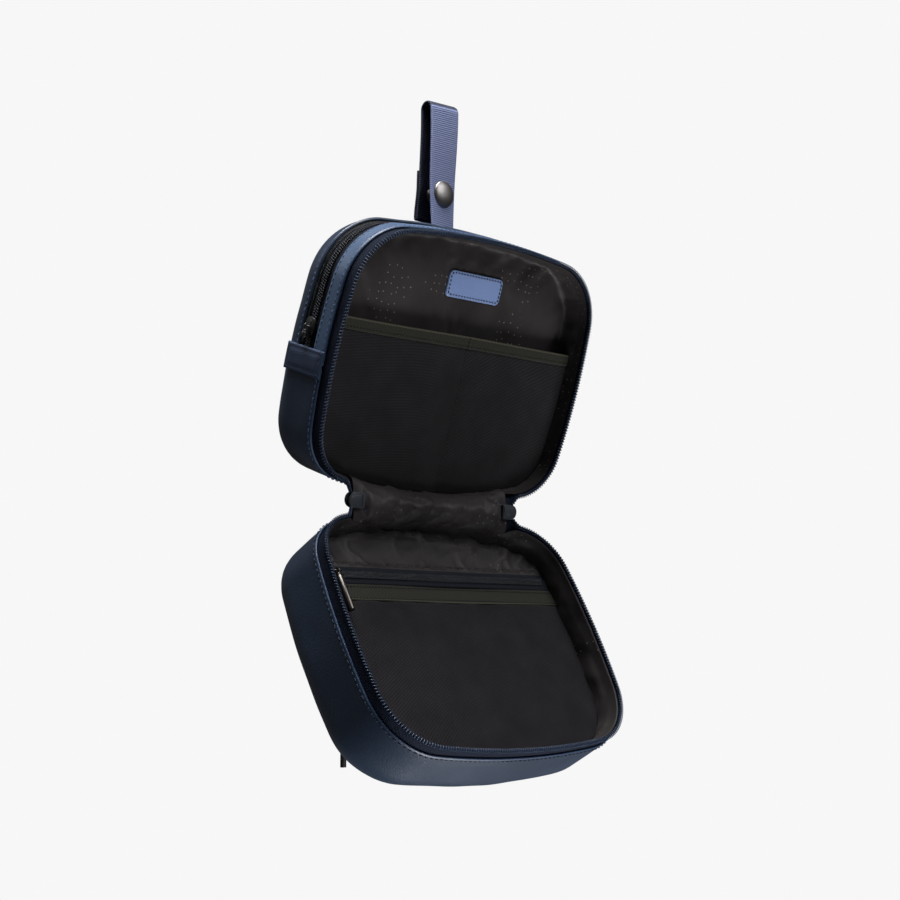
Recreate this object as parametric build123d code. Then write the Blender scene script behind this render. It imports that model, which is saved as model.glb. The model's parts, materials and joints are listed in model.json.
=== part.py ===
"""Hanging clamshell shaving kit bag, shown open on its webbing loop.

Each half is designed flat in its own frame: x across the bag, y away from the hinge line and
z the depth from the mating plane to the outer panel.  The halves are then set at their
hanging angles either side of the hinge, and everything is moved so that the origin is the
axis of the hanging loop.  Millimetres throughout.
"""
import math
import os

from build123d import *

# ---- driving dimensions -------------------------------------------------------------
WIDTH = 190.0                # across the bag
HEIGHT = 150.0               # hinge end to free end of one half
UPPER_DEPTH = 50.0           # mating plane to outer panel
LOWER_DEPTH = 54.0
UPPER_TILT = 19.0            # lean of the upper half, top towards the viewer, degrees
LOWER_TILT = 29.0            # lean of the lower half, free end towards the viewer, degrees
HINGE_GAP = 0.6              # hinge line to the nearest leather of each half

SIDE_R = 380.0               # the outline is eight tangent arcs
FREE_END_R = 490.0
HINGE_END_R = 315.0
FREE_CORNER_R = 39.0
HINGE_CORNER_R = 30.0
REAR_ROUND = 20.0            # rounding from the walls to the outer panel

LEATHER = 1.2                # layer thicknesses
FOAM = 2.2
LINING = 0.6
TAPE = 0.6
LAYER_GAP = 0.1              # between sewn layers

TEETH_WIDTH = 2.2            # main zip, across the wall
TEETH_FRONT = 0.15           # the closed halves' teeth stop this far from the mating plane
TEETH_BACK = 2.0
LEATHER_EDGE = 8.0           # depth of the leather's front edge
MAIN_TAPE_BACK = 14.0
MAIN_ZIP_END_X = 67.0        # the main zip stops this far out at the hinge end
SPINE_HALF = 52.0            # half length of the leather hinge strip
SPINE_FRONT = 0.5
SPINE_BACK = 7.8
HINGE_ZONE_Y = (-5.0, 25.0)  # limits that take in the walls beside the hinge line
HINGE_ZONE_Z = (-5.0, 30.0)

FRONT_BAND_BACK = 18.0       # leather band between the main zip and the rear pocket's zip
ARCH_ZIP_DEPTH = 24.0        # centre of the rear pocket's arched zip
ARCH_SLOT_BACK = 30.0
ARCH_TAPE = (15.0, 31.2)     # front and back edges of the arched tape
ARCH_TAPE_START = 62.0       # the tape ends under the keeper tabs
TAB_S = (60.0, 74.5)         # leather keeper tabs that cover the arched zip's ends
TAB_DEPTH = (8.2, 38.0)
TAB_THICK = 1.2
TAB_ROOT_X = 60.0            # the tabs lie farther out than this

UPPER_TRAY_BACK = 19.5       # front face of the upper tray's lining
UPPER_MESH_DEPTH = 11.0
BINDING_S = (88.1, 95.0)
MESH_THICK = 0.5
BAND_RISE = 0.3              # folded bands stand in front of the mesh by this
BAND_THICK = 1.1
LINING_FRONT = 8.3           # front edge of both linings
MESH_END_S = 7.0
LABEL_SIZE = (42.0, 15.0)
LABEL_CENTRE = (10.0, 122.0)
LABEL_THICK = 1.1
LABEL_CORNER_R = 3.0

PARTITION_DEPTH = 17.0       # lower half's zipped mesh partition
INNER_ZIP_S = 36.5
INNER_TAPE_S = (31.2, 41.8)
MESH_BAND_S = (42.0, 52.0)
INNER_COIL_HALF = 84.0
OUTER_ZIP_S = 101.0          # flat pocket zip on the lower outer panel
OUTER_SLOT = (142.0, 9.0)
OUTER_SLOT_R = 4.0
OUTER_TAPE = (147.0, 15.0)
OUTER_TAPE_R = 1.0
OUTER_COIL_LENGTH = 138.0
OUTER_MOUTH = (130.0, 6.0)   # cut in the foam behind the slot
OUTER_MOUTH_R = 2.0
POUCH_GAP = 3.0              # room for the outer pocket between foam and lining
POUCH_SIZE = (136.0, 94.0)
POUCH_S = 75.0
POUCH_MOUTH = (128.0, 6.0)
POUCH_CLEAR = 0.2

COIL_HEIGHT = 0.9
COIL_WIDTH = 3.4

SLIDER_LENGTH = 10.0         # pocket zip sliders
SLIDER_WIDTH = 7.4
SLIDER_CORNER_R = 3.0
FLANGE = (5.0, 0.8, 1.0)
FLANGE_INSET = 0.5           # outer edge of the plate to the middle of a flange
FLANGE_DROP = 0.4
PLATE = 1.1
PLATE_LIFT = 1.2             # underside of the plate above the tape
WIRE_R = 0.5                 # bridge that the pull's ring hangs on
WIRE_RISE = 2.1              # bridge axis above the plate
BRIDGE_SPAN = 4.4
POST_SINK = 0.2              # bridge posts run this far into the plate
RING_R = 1.45
RING_WIRE_R = 0.4
RING_OFFSET = 0.5
BAR_R = 1.6
INNER_BAR_R = 1.9            # the inner zip has a stouter bar
BAR_EDGE_R = 0.5
BAR_START = 2.1
BAR_LENGTH = 22.0

MAIN_SLIDER_X = 59.0
MAIN_SLIDER_SIZE = (11.0, 8.4, 4.4)    # along the zip, across it, through it
MAIN_SLIDER_CORNER_R = 1.0
WEDGE_R = 1.4
WEDGE_INSET = 2.6            # nose to the wedge that parts the two coils
MAIN_SLIDER_TURN = 8.0                 # its outer face points back and slightly up

STRAP_WIDTH = 20.0
STRAP_THICK = 1.5
LOOP_R = 3.5                 # inside radius of the hanging loop
LOOP_Y = -1.9                # loop axis from the hinge line
LOOP_Z = 225.0
STRAP_FOOT_Z = 140.0         # the leg is trimmed to the bag's top from here
FREE_LEG_END_Z = 162.0
HEM_LENGTH = 28.0
FLAP_GAP = 1.0
SNAP_Z = 176.0
SNAP_CAP_R = 7.5
SNAP_CAP_RISE = 2.6
SNAP_POST_R = 1.9
SNAP_HOLE_R = 2.1
SOCKET_R = 5.5
SOCKET_DEPTH = 3.0
SOCKET_FLOOR = 0.6
SOCKET_MOUTH_R = 2.6
SOCKET_SEAT = 0.15           # the socket stands this far off the webbing
STUD_HEAD_R = 2.1
STUD_HEAD_Y = (-1.6, -0.2)   # from the loop axis, inside the socket
STUD_WASHER_R = 5.0
STUD_WASHER = 0.9

BIG = 400.0                  # larger than anything here, for cutting
OVERCUT = 1.0                # cutters pass the material by this


# ---- outline and shells, in a half's own frame --------------------------------------
def unit(dx, dy):
    """Unit vector along (dx, dy)."""
    length = math.hypot(dx, dy)
    return dx / length, dy / length


def corner_centre(end_y, end_r, corner_r, toward):
    """Centre of the right-hand corner arc that is tangent inside a side arc and an end arc."""
    side_x = WIDTH / 2 - SIDE_R
    side_y = HEIGHT / 2
    ra = SIDE_R - corner_r
    rb = end_r - corner_r
    span = math.hypot(side_x, end_y - side_y)
    along = (ra * ra - rb * rb + span * span) / (2 * span)
    off = math.sqrt(ra * ra - along * along)
    ux, uy = unit(-side_x, end_y - side_y)
    candidates = [
        (side_x + along * ux - sign * off * uy, side_y + along * uy + sign * off * ux)
        for sign in (1, -1)
    ]
    return max(candidates, key=lambda point: point[0] + toward * point[1] * 0.01)


def arc(centre, radius, start, end):
    """Arc about a centre from one direction to the next, each given as a unit vector."""
    mid = unit(start[0] + end[0], start[1] + end[1])
    points = [(centre[0] + radius * d[0], centre[1] + radius * d[1]) for d in (start, mid, end)]
    return ThreePointArc(*points)


def outline(inset=0.0):
    """Face inside the bag's outline, moved inwards by inset; the hinge line is y = 0."""
    side = (WIDTH / 2 - SIDE_R, HEIGHT / 2)
    top = (0.0, HEIGHT - FREE_END_R)
    base = (0.0, HINGE_END_R)
    upper = corner_centre(top[1], FREE_END_R, FREE_CORNER_R, 1)
    lower = corner_centre(base[1], HINGE_END_R, HINGE_CORNER_R, -1)
    side_to_upper = unit(upper[0] - side[0], upper[1] - side[1])
    top_to_upper = unit(upper[0] - top[0], upper[1] - top[1])
    side_to_lower = unit(lower[0] - side[0], lower[1] - side[1])
    base_to_lower = unit(lower[0] - base[0], lower[1] - base[1])
    right = [
        arc(lower, HINGE_CORNER_R - inset, base_to_lower, side_to_lower),
        arc(side, SIDE_R - inset, side_to_lower, side_to_upper),
        arc(upper, FREE_CORNER_R - inset, side_to_upper, top_to_upper),
    ]
    left = [mirror(edge, about=Plane.YZ) for edge in right]
    ends = [
        arc(top, FREE_END_R - inset, top_to_upper, (-top_to_upper[0], top_to_upper[1])),
        arc(base, HINGE_END_R - inset, (-base_to_lower[0], base_to_lower[1]), base_to_lower),
    ]
    return Pos(0, HINGE_GAP) * make_face(Wire(Curve() + right + left + ends))


def slab(inset, front, back):
    """The outline as a plate between two depths."""
    return Pos(0, 0, front) * extrude(outline(inset), amount=back - front)


def ring(inset, thickness, front, back):
    """A closed wall that follows the outline."""
    return slab(inset, front, back) - slab(inset + thickness, front - OVERCUT, back + OVERCUT)


def case(inset, back):
    """A solid half with rounded rear edges, inset from the walls."""
    block = slab(inset, 0, back)
    return fillet(block.edges().group_by(Axis.Z)[-1], REAR_ROUND - inset)


def shell(inset, thickness, depth):
    """Layer of a half: walls, rounded rear edge and back."""
    return case(inset, depth - inset) - case(inset + thickness, depth - inset - thickness)


def block(x, y, z):
    """Box between the given pairs of limits."""
    size = [high - low for low, high in (x, y, z)]
    centre = [(high + low) / 2 for low, high in (x, y, z)]
    return Pos(*centre) * Box(*size)


def behind(depth):
    """Everything deeper than a depth."""
    return block((-BIG, BIG), (-BIG, BIG), (depth, BIG))


def ahead(depth):
    """Everything shallower than a depth."""
    return block((-BIG, BIG), (-BIG, BIG), (-BIG, depth))


def beyond(y):
    """Everything farther from the hinge than y."""
    return block((-BIG, BIG), (y, BIG), (-BIG, BIG))


def rounded_plate(length, width, radius, thickness):
    """Plate with rounded corners, standing on z = 0."""
    return extrude(RectangleRounded(length, width, radius), amount=thickness)


# ---- the two halves' shared parts ----------------------------------------------------
FOAM_INSET = LEATHER + TAPE + 2 * LAYER_GAP
LINING_INSET = FOAM_INSET + FOAM - TAPE + LAYER_GAP
HINGE_END = block((-MAIN_ZIP_END_X, MAIN_ZIP_END_X), HINGE_ZONE_Y, HINGE_ZONE_Z)


def main_zip_tape():
    """Cloth tape of the main zip, from behind the teeth to under the leather."""
    tape = ring(LEATHER + LAYER_GAP, TAPE, TEETH_BACK + LAYER_GAP, MAIN_TAPE_BACK)
    return tape - HINGE_END


def main_zip_teeth():
    """Continuous bead that stands for one side of the main zip's coil."""
    inset = LEATHER + LAYER_GAP + TAPE / 2 - TEETH_WIDTH / 2
    return ring(inset, TEETH_WIDTH, TEETH_FRONT, TEETH_BACK) - HINGE_END


def hinge_spine():
    """Half of the leather strip that joins the two halves along the hinge."""
    wall = ring(0, LEATHER, SPINE_FRONT, SPINE_BACK)
    return wall & block((-SPINE_HALF, SPINE_HALF), HINGE_ZONE_Y, HINGE_ZONE_Z)


def sheet(front, thickness, start, end):
    """Flat panel across a half, inside its lining, between two distances from the hinge."""
    panel = slab(LINING_INSET + LINING + LAYER_GAP, front, front + thickness)
    return panel & block((-BIG, BIG), (start, end), (0, BIG))


def mesh_sheet(depth, start, end):
    """Thin panel of mesh, tape or cloth across a half."""
    return sheet(depth, MESH_THICK, start, end)


def folded_band(depth, ends):
    """Folded band across a half, standing a little in front of the mesh."""
    return sheet(depth - BAND_RISE, BAND_THICK, *ends)


# ---- upper half ----------------------------------------------------------------------
TAB_MID = sum(TAB_S) / 2


def upper_shell():
    """Leather of the upper half: rear panel, rounded edge and the wall below the keeper tabs."""
    leather = shell(0, LEATHER, UPPER_DEPTH) & behind(LEATHER_EDGE)
    return leather - (beyond(TAB_MID) & ahead(ARCH_SLOT_BACK))


def upper_front_band():
    """Leather band in front of the arched zip, from one keeper tab over the top to the other."""
    band = ring(0, LEATHER, LEATHER_EDGE, FRONT_BAND_BACK)
    return band & beyond(TAB_MID + LAYER_GAP)


def keeper_tab(side):
    """Leather tab across the wall that covers the end of the arched zip."""
    wrap = ring(-LAYER_GAP - TAB_THICK, TAB_THICK, *TAB_DEPTH)
    reach = sorted((side * TAB_ROOT_X, side * BIG))
    return wrap & block(reach, TAB_S, (0, BIG))


def arch_zip_tape():
    """Tape of the rear pocket's zip, arched over the top and both sides."""
    return ring(LEATHER + LAYER_GAP, TAPE, *ARCH_TAPE) & beyond(ARCH_TAPE_START)


def arch_zip_coil():
    """Closed coil of the rear pocket's zip."""
    half = COIL_WIDTH / 2
    inset = LEATHER + LAYER_GAP - COIL_HEIGHT - LAYER_GAP / 2
    coil = ring(inset, COIL_HEIGHT, ARCH_ZIP_DEPTH - half, ARCH_ZIP_DEPTH + half)
    return coil & beyond(TAB_MID + LAYER_GAP)


def upper_foam():
    """Foam stiffener under the leather, open where the rear pocket's zip lets in."""
    layer = shell(FOAM_INSET, FOAM - TAPE, UPPER_DEPTH) & behind(MAIN_TAPE_BACK + LAYER_GAP)
    mouth = beyond(ARCH_TAPE_START) & behind(UPPER_TRAY_BACK + OVERCUT) & ahead(ARCH_TAPE[1])
    return layer - mouth


def upper_tray_lining():
    """Lining of the open tray: its wall and the sheet that parts it from the rear pocket."""
    wall = ring(LINING_INSET, LINING, LINING_FRONT, UPPER_TRAY_BACK)
    back = slab(LINING_INSET, UPPER_TRAY_BACK, UPPER_TRAY_BACK + LINING)
    return wall + back


def rear_pocket_lining():
    """Lining of the pocket behind the tray, open at the arched zip."""
    front = UPPER_TRAY_BACK + LINING + LAYER_GAP
    layer = shell(LINING_INSET, LINING, UPPER_DEPTH) & behind(front)
    return layer - (beyond(ARCH_TAPE_START) & ahead(ARCH_TAPE[1]))


def upper_mesh():
    """Mesh of the slip pocket in the upper tray."""
    return mesh_sheet(UPPER_MESH_DEPTH, MESH_END_S, BINDING_S[0] - LAYER_GAP)


def upper_mesh_binding():
    """Folded binding along the mouth of the slip pocket."""
    return folded_band(UPPER_MESH_DEPTH, BINDING_S)


def label_patch():
    """Blank leather patch sewn to the tray's lining."""
    front = UPPER_TRAY_BACK - LAYER_GAP - LABEL_THICK
    return Pos(*LABEL_CENTRE, front) * rounded_plate(*LABEL_SIZE, LABEL_CORNER_R, LABEL_THICK)


# ---- lower half ----------------------------------------------------------------------
OUTER_TAPE_FRONT = LOWER_DEPTH - LEATHER - LAYER_GAP - TAPE


def lower_shell():
    """Leather of the lower half with the slot of its outer pocket."""
    leather = shell(0, LEATHER, LOWER_DEPTH) & behind(LEATHER_EDGE)
    front = LOWER_DEPTH - LEATHER - OVERCUT
    slot = rounded_plate(*OUTER_SLOT, OUTER_SLOT_R, LEATHER + 2 * OVERCUT)
    return leather - Pos(0, OUTER_ZIP_S, front) * slot


def outer_zip_tape():
    """Tape behind the slot of the outer pocket."""
    plate = rounded_plate(*OUTER_TAPE, OUTER_TAPE_R, TAPE)
    return Pos(0, OUTER_ZIP_S, OUTER_TAPE_FRONT) * plate


def outer_zip_coil():
    """Coil of the outer pocket's zip, on the outside of its tape."""
    half = OUTER_COIL_LENGTH / 2
    z = OUTER_TAPE_FRONT + TAPE + LAYER_GAP / 2
    return block((-half, half),
                 (OUTER_ZIP_S - COIL_WIDTH / 2, OUTER_ZIP_S + COIL_WIDTH / 2),
                 (z, z + COIL_HEIGHT))


def lower_foam():
    """Foam stiffener of the lower half, with the outer pocket's mouth cut through."""
    layer = shell(FOAM_INSET, FOAM - TAPE, LOWER_DEPTH) & behind(MAIN_TAPE_BACK + LAYER_GAP)
    front = LOWER_DEPTH - FOAM_INSET - FOAM - OVERCUT
    mouth = rounded_plate(*OUTER_MOUTH, OUTER_MOUTH_R, FOAM + 2 * OVERCUT)
    return layer - Pos(0, OUTER_ZIP_S, front) * mouth


def outer_pouch():
    """Flat cloth pouch behind the outer pocket's zip."""
    width, height = POUCH_SIZE
    depth = POUCH_GAP - 2 * POUCH_CLEAR
    front = LOWER_DEPTH - LINING_INSET - POUCH_GAP + POUCH_CLEAR
    middle = front + depth / 2
    hollow = Box(width - 2 * LINING, height - 2 * LINING, depth - 2 * LINING)
    mouth = Pos(0, OUTER_ZIP_S, front + depth) * Box(*POUCH_MOUTH, depth)
    return Pos(0, POUCH_S, middle) * (Box(width, height, depth) - hollow) - mouth


def lower_lining():
    """Lining of the lower half, set in to leave room for the outer pocket."""
    inner_back = LOWER_DEPTH - POUCH_GAP
    outer = case(LINING_INSET, inner_back - LINING_INSET)
    inner = case(LINING_INSET + LINING, inner_back - LINING_INSET - LINING)
    return (outer - inner) & behind(LINING_FRONT)


def lower_partition_lining():
    """Strip of lining between the hinge and the inner zip."""
    return mesh_sheet(PARTITION_DEPTH, MESH_END_S, INNER_TAPE_S[0] - LAYER_GAP)


def inner_zip_tape():
    """Tape of the inner zip, across the partition."""
    return mesh_sheet(PARTITION_DEPTH, *INNER_TAPE_S)


def inner_zip_coil():
    """Coil of the inner zip, on the tray side of its tape."""
    z = PARTITION_DEPTH - LAYER_GAP / 2
    return block((-INNER_COIL_HALF, INNER_COIL_HALF),
                 (INNER_ZIP_S - COIL_WIDTH / 2, INNER_ZIP_S + COIL_WIDTH / 2),
                 (z - COIL_HEIGHT, z))


def mesh_band():
    """Folded woven band between the inner zip and the mesh."""
    return folded_band(PARTITION_DEPTH, MESH_BAND_S)


def lower_mesh():
    """Mesh of the partition."""
    return mesh_sheet(PARTITION_DEPTH, MESH_BAND_S[1] + LAYER_GAP, HEIGHT - MESH_END_S)


# ---- zip sliders and pulls -----------------------------------------------------------
PIVOT_RISE = PLATE_LIFT + PLATE + WIRE_RISE


def seat(point, x_dir, normal):
    """Location on a zip: x along x_dir and z along the tape's outward normal."""
    return Plane(origin=point, x_dir=x_dir, z_dir=normal).location


def slider_plate():
    """Top plate of a slider with the two flanges that grip the coil; x is its travel."""
    top = rounded_plate(SLIDER_LENGTH, SLIDER_WIDTH, SLIDER_CORNER_R, PLATE)
    plate = Pos(0, 0, PLATE_LIFT) * top
    flange_y = SLIDER_WIDTH / 2 - FLANGE_INSET
    for sign in (1, -1):
        plate += Pos(0, sign * flange_y, PLATE_LIFT - FLANGE_DROP) * Box(*FLANGE)
    return plate


def crown(base):
    """Bridge wire on two posts above a plate; the wire lies along y."""
    wire = Pos(0, 0, base + WIRE_RISE) * Rot(90, 0, 0) * Cylinder(WIRE_R, BRIDGE_SPAN)
    posts = [
        Pos(0, sign * (BRIDGE_SPAN / 2 - WIRE_R), base + (WIRE_RISE - POST_SINK) / 2)
        * Box(2 * WIRE_R, 2 * WIRE_R, WIRE_RISE + POST_SINK)
        for sign in (1, -1)
    ]
    return wire + posts[0] + posts[1]


def bar_pull(length, radius=BAR_R):
    """Ring and bar of a zip pull, hanging along x from a bridge wire at the origin."""
    hoop = Pos(RING_OFFSET, 0, 0) * Rot(90, 0, 0) * Torus(RING_R, RING_WIRE_R)
    bar = Pos(BAR_START + length / 2, 0, 0) * Rot(0, 90, 0) * Cylinder(radius, length)
    bar = fillet(bar.edges(), BAR_EDGE_R)
    return hoop + bar


def pocket_slider(point, travel, normal, pull_dir):
    """Slider of a pocket zip at a point on its tape."""
    return seat(point, travel, normal) * slider_plate() + (
        seat(point, pull_dir, normal) * crown(PLATE_LIFT + PLATE)
    )


def pocket_pull(point, normal, pull_dir, length=BAR_LENGTH, radius=BAR_R, swing=0.0):
    """Pull of a pocket zip, swung away from the tape by an angle."""
    return seat(point, pull_dir, normal) * Pos(0, 0, PIVOT_RISE) * (
        Rot(0, -swing, 0) * bar_pull(length, radius)
    )


INNER_SLIDER_AT = (-77.0, INNER_ZIP_S, PARTITION_DEPTH)
OUTER_SLIDER_AT = (-65.0, OUTER_ZIP_S, OUTER_TAPE_FRONT + TAPE)
ARCH_SLIDER_S = 85.0
ARCH_PULL_LENGTH = 4.0


def arch_slider_seat():
    """Point, travel and normal of the arched zip's slider on the left wall."""
    inset = LEATHER + LAYER_GAP
    side_x = WIDTH / 2 - SIDE_R
    rise = math.asin((ARCH_SLIDER_S - HINGE_GAP - HEIGHT / 2) / SIDE_R)
    radius = SIDE_R - inset
    x = side_x + radius * math.cos(rise)
    y = HEIGHT / 2 + HINGE_GAP + radius * math.sin(rise)
    travel = (math.sin(rise), math.cos(rise), 0)
    normal = (-math.cos(rise), math.sin(rise), 0)
    return (-x, y, ARCH_ZIP_DEPTH), travel, normal


def main_slider():
    """Main zip slider: shield-shaped inner plate, outer plate, wedge and bridge; nose along x."""
    length, width, thick = MAIN_SLIDER_SIZE
    nose = Pos(length / 2 - width / 2, 0) * Circle(width / 2)
    tail = Pos(-width / 4, 0) * (
        RectangleRounded(length - width / 2, width, MAIN_SLIDER_CORNER_R)
    )
    shield = nose + tail
    inner = Pos(0, 0, -thick / 2) * extrude(shield, amount=PLATE)
    outer = Pos(0, 0, thick / 2 - PLATE) * extrude(shield, amount=PLATE)
    wedge = Pos(length / 2 - WEDGE_INSET, 0, 0) * Cylinder(WEDGE_R, thick - PLATE)
    return inner + outer + wedge + crown(thick / 2)


def main_slider_seat(side, facing):
    """Location of a main slider at the hinge, with x outwards (1) or inwards (-1)."""
    tilt = math.radians(MAIN_SLIDER_TURN)
    normal = (0, math.cos(tilt), math.sin(tilt))
    return seat((side * MAIN_SLIDER_X, 0, 0), (side * facing, 0, 0), normal)


def main_pull(side):
    """Bar pull of a main slider, lying inwards behind the leather hinge strip."""
    rise = MAIN_SLIDER_SIZE[2] / 2 + WIRE_RISE
    return main_slider_seat(side, -1) * Pos(0, 0, rise) * bar_pull(BAR_LENGTH)


# ---- hanging strap, in the row's axes about the hinge line --------------------------
OUTER_LOOP_R = LOOP_R + STRAP_THICK


def across(x_width, y, z):
    """Box centred across the bag, in the strap's axes about the loop axis."""
    return block((-x_width / 2, x_width / 2), y, z)


def snap_bore(radius, y):
    """Cylinder along Y at the snap's height."""
    centre = (y[0] + y[1]) / 2
    return Pos(0, centre, SNAP_Z - LOOP_Z) * Rot(90, 0, 0) * Cylinder(radius, y[1] - y[0])


def hanging_strap():
    """Webbing from the bag's top seam up and over the loop."""
    leg = across(STRAP_WIDTH, (-OUTER_LOOP_R, -LOOP_R), (STRAP_FOOT_Z - LOOP_Z, 0))
    tube = Rot(0, 90, 0) * (Cylinder(OUTER_LOOP_R, STRAP_WIDTH) - Cylinder(LOOP_R, BIG))
    arch = tube & across(BIG, (-BIG, BIG), (0, BIG))
    return leg + arch - snap_bore(SNAP_HOLE_R, (-BIG, 0))


def strap_flap():
    """Free end of the webbing behind the hanging leg."""
    end = FREE_LEG_END_Z - LOOP_Z
    leg = across(STRAP_WIDTH, (LOOP_R, OUTER_LOOP_R), (end, -FLAP_GAP))
    return leg - snap_bore(SNAP_HOLE_R, (0, BIG))


def strap_hem():
    """Folded-back hem sewn to the free end."""
    end = FREE_LEG_END_Z - LOOP_Z
    y = OUTER_LOOP_R + LAYER_GAP
    return across(STRAP_WIDTH, (y, y + STRAP_THICK), (end, end + HEM_LENGTH)) - (
        snap_bore(SNAP_HOLE_R, (0, BIG))
    )


def snap_cap():
    """Domed cap on the front of the hanging leg, with its post."""
    dome_r = (SNAP_CAP_R**2 + SNAP_CAP_RISE**2) / (2 * SNAP_CAP_RISE)
    ball = Pos(0, 0, SNAP_CAP_RISE - dome_r) * Sphere(dome_r)
    dome = ball & Pos(0, 0, BIG / 2) * Box(BIG, BIG, BIG)
    post_length = STRAP_THICK + 2 * LAYER_GAP
    post = Pos(0, 0, -post_length / 2) * Cylinder(SNAP_POST_R, post_length)
    facing = Plane(origin=(0, -OUTER_LOOP_R - LAYER_GAP, SNAP_Z - LOOP_Z),
                   x_dir=(1, 0, 0), z_dir=(0, -1, 0)).location
    return facing * (dome + post)


def snap_socket():
    """Socket ring on the inside of the hanging leg."""
    front = -LOOP_R + SOCKET_SEAT
    cup = snap_bore(SOCKET_R, (front, front + SOCKET_DEPTH))
    mouth = (front + SOCKET_FLOOR, front + SOCKET_DEPTH + OVERCUT)
    return cup - snap_bore(SOCKET_MOUTH_R, mouth)


def snap_stud():
    """Stud on the free end that presses into the socket, with its rear washer."""
    back = OUTER_LOOP_R + STRAP_THICK + 2 * LAYER_GAP
    head = snap_bore(STUD_HEAD_R, STUD_HEAD_Y)
    neck = snap_bore(SNAP_POST_R, (STUD_HEAD_Y[1], back))
    flange_back = LOOP_R - LAYER_GAP
    flange = snap_bore(STUD_WASHER_R, (flange_back - STUD_WASHER, flange_back))
    washer = snap_bore(STUD_WASHER_R, (back, back + STUD_WASHER))
    return head + neck + flange + washer


# ---- places --------------------------------------------------------------------------
def half_location(tilt, depth_sign):
    """Frame of a half: y away from the hinge, z along or against the depth direction."""
    lean = math.radians(tilt)
    return Plane(origin=(0, -LOOP_Y, -LOOP_Z), x_dir=(1, 0, 0),
                 z_dir=(0, depth_sign * math.cos(lean), -math.sin(lean))).location


UPPER = half_location(UPPER_TILT, -1)
LOWER = half_location(LOWER_TILT, 1)
HINGE_LINE = Pos(0, -LOOP_Y, -LOOP_Z)


def in_upper(shape):
    """Place a shape of the upper half; its depth runs against the frame's z."""
    return UPPER * mirror(shape, about=Plane.XY)


def in_lower(shape):
    """Place a shape of the lower half."""
    return LOWER * shape


def upper_parts():
    """Pieces that belong to the upper half."""
    point, travel, normal = arch_slider_seat()
    down = (-travel[0], -travel[1], 0)
    local = {
        "upper_shell": upper_shell(),
        "upper_front_band": upper_front_band(),
        "keeper_tab_left": keeper_tab(-1),
        "keeper_tab_right": keeper_tab(1),
        "arch_zip_tape": arch_zip_tape(),
        "arch_zip_coil": arch_zip_coil(),
        "upper_foam": upper_foam(),
        "upper_tray_lining": upper_tray_lining(),
        "rear_pocket_lining": rear_pocket_lining(),
        "upper_mesh": upper_mesh(),
        "upper_mesh_binding": upper_mesh_binding(),
        "label_patch": label_patch(),
        "main_zip_tape_upper": main_zip_tape(),
        "main_zip_teeth_upper": main_zip_teeth(),
        "hinge_spine_upper": hinge_spine(),
        "arch_slider": pocket_slider(point, travel, normal, down),
        "arch_pull": pocket_pull(point, normal, down, ARCH_PULL_LENGTH),
    }
    return {name: in_upper(shape) for name, shape in local.items()}


def lower_parts():
    """Pieces that belong to the lower half."""
    along = (1, 0, 0)
    away = (0, 1, 0)
    out = (0, 0, 1)
    inward = (0, 0, -1)
    local = {
        "lower_shell": lower_shell(),
        "lower_foam": lower_foam(),
        "lower_lining": lower_lining(),
        "outer_pouch": outer_pouch(),
        "outer_zip_tape": outer_zip_tape(),
        "outer_zip_coil": outer_zip_coil(),
        "outer_slider": pocket_slider(OUTER_SLIDER_AT, along, out, away),
        "outer_pull": pocket_pull(OUTER_SLIDER_AT, out, away, swing=LOWER_TILT),
        "lower_partition_lining": lower_partition_lining(),
        "inner_zip_tape": inner_zip_tape(),
        "inner_zip_coil": inner_zip_coil(),
        "mesh_band": mesh_band(),
        "lower_mesh": lower_mesh(),
        "inner_slider": pocket_slider(INNER_SLIDER_AT, along, inward, away),
        "inner_pull": pocket_pull(INNER_SLIDER_AT, inward, away, radius=INNER_BAR_R),
        "main_zip_tape_lower": main_zip_tape(),
        "main_zip_teeth_lower": main_zip_teeth(),
        "hinge_spine_lower": hinge_spine(),
    }
    return {name: in_lower(shape) for name, shape in local.items()}


def strap_parts():
    """Webbing, snap and main sliders; the strap's foot is trimmed to the bag's top."""
    bag = in_upper(case(-LAYER_GAP, UPPER_DEPTH + LAYER_GAP))
    return {
        "hanging_strap": hanging_strap() - bag,
        "strap_flap": strap_flap(),
        "strap_hem": strap_hem(),
        "snap_cap": snap_cap(),
        "snap_socket": snap_socket(),
        "snap_stud": snap_stud(),
        "main_slider_left": HINGE_LINE * main_slider_seat(-1, 1) * main_slider(),
        "main_slider_right": HINGE_LINE * main_slider_seat(1, 1) * main_slider(),
        "main_pull_left": HINGE_LINE * main_pull(-1),
        "main_pull_right": HINGE_LINE * main_pull(1),
    }


def main():
    os.makedirs("parts", exist_ok=True)
    for name, shape in {**upper_parts(), **lower_parts(), **strap_parts()}.items():
        export_step(shape, f"parts/{name}.step")


main()
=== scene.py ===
"""Looks of the hanging shaving kit bag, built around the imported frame.

Lengths are millimetres until a mesh is made.  A half of the bag has its own axes: x across,
s away from the hinge line and d the depth from the mating plane towards the outer panel.
"""
import json
import math

import bpy
import numpy as np
from mathutils import Matrix, Vector


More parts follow.
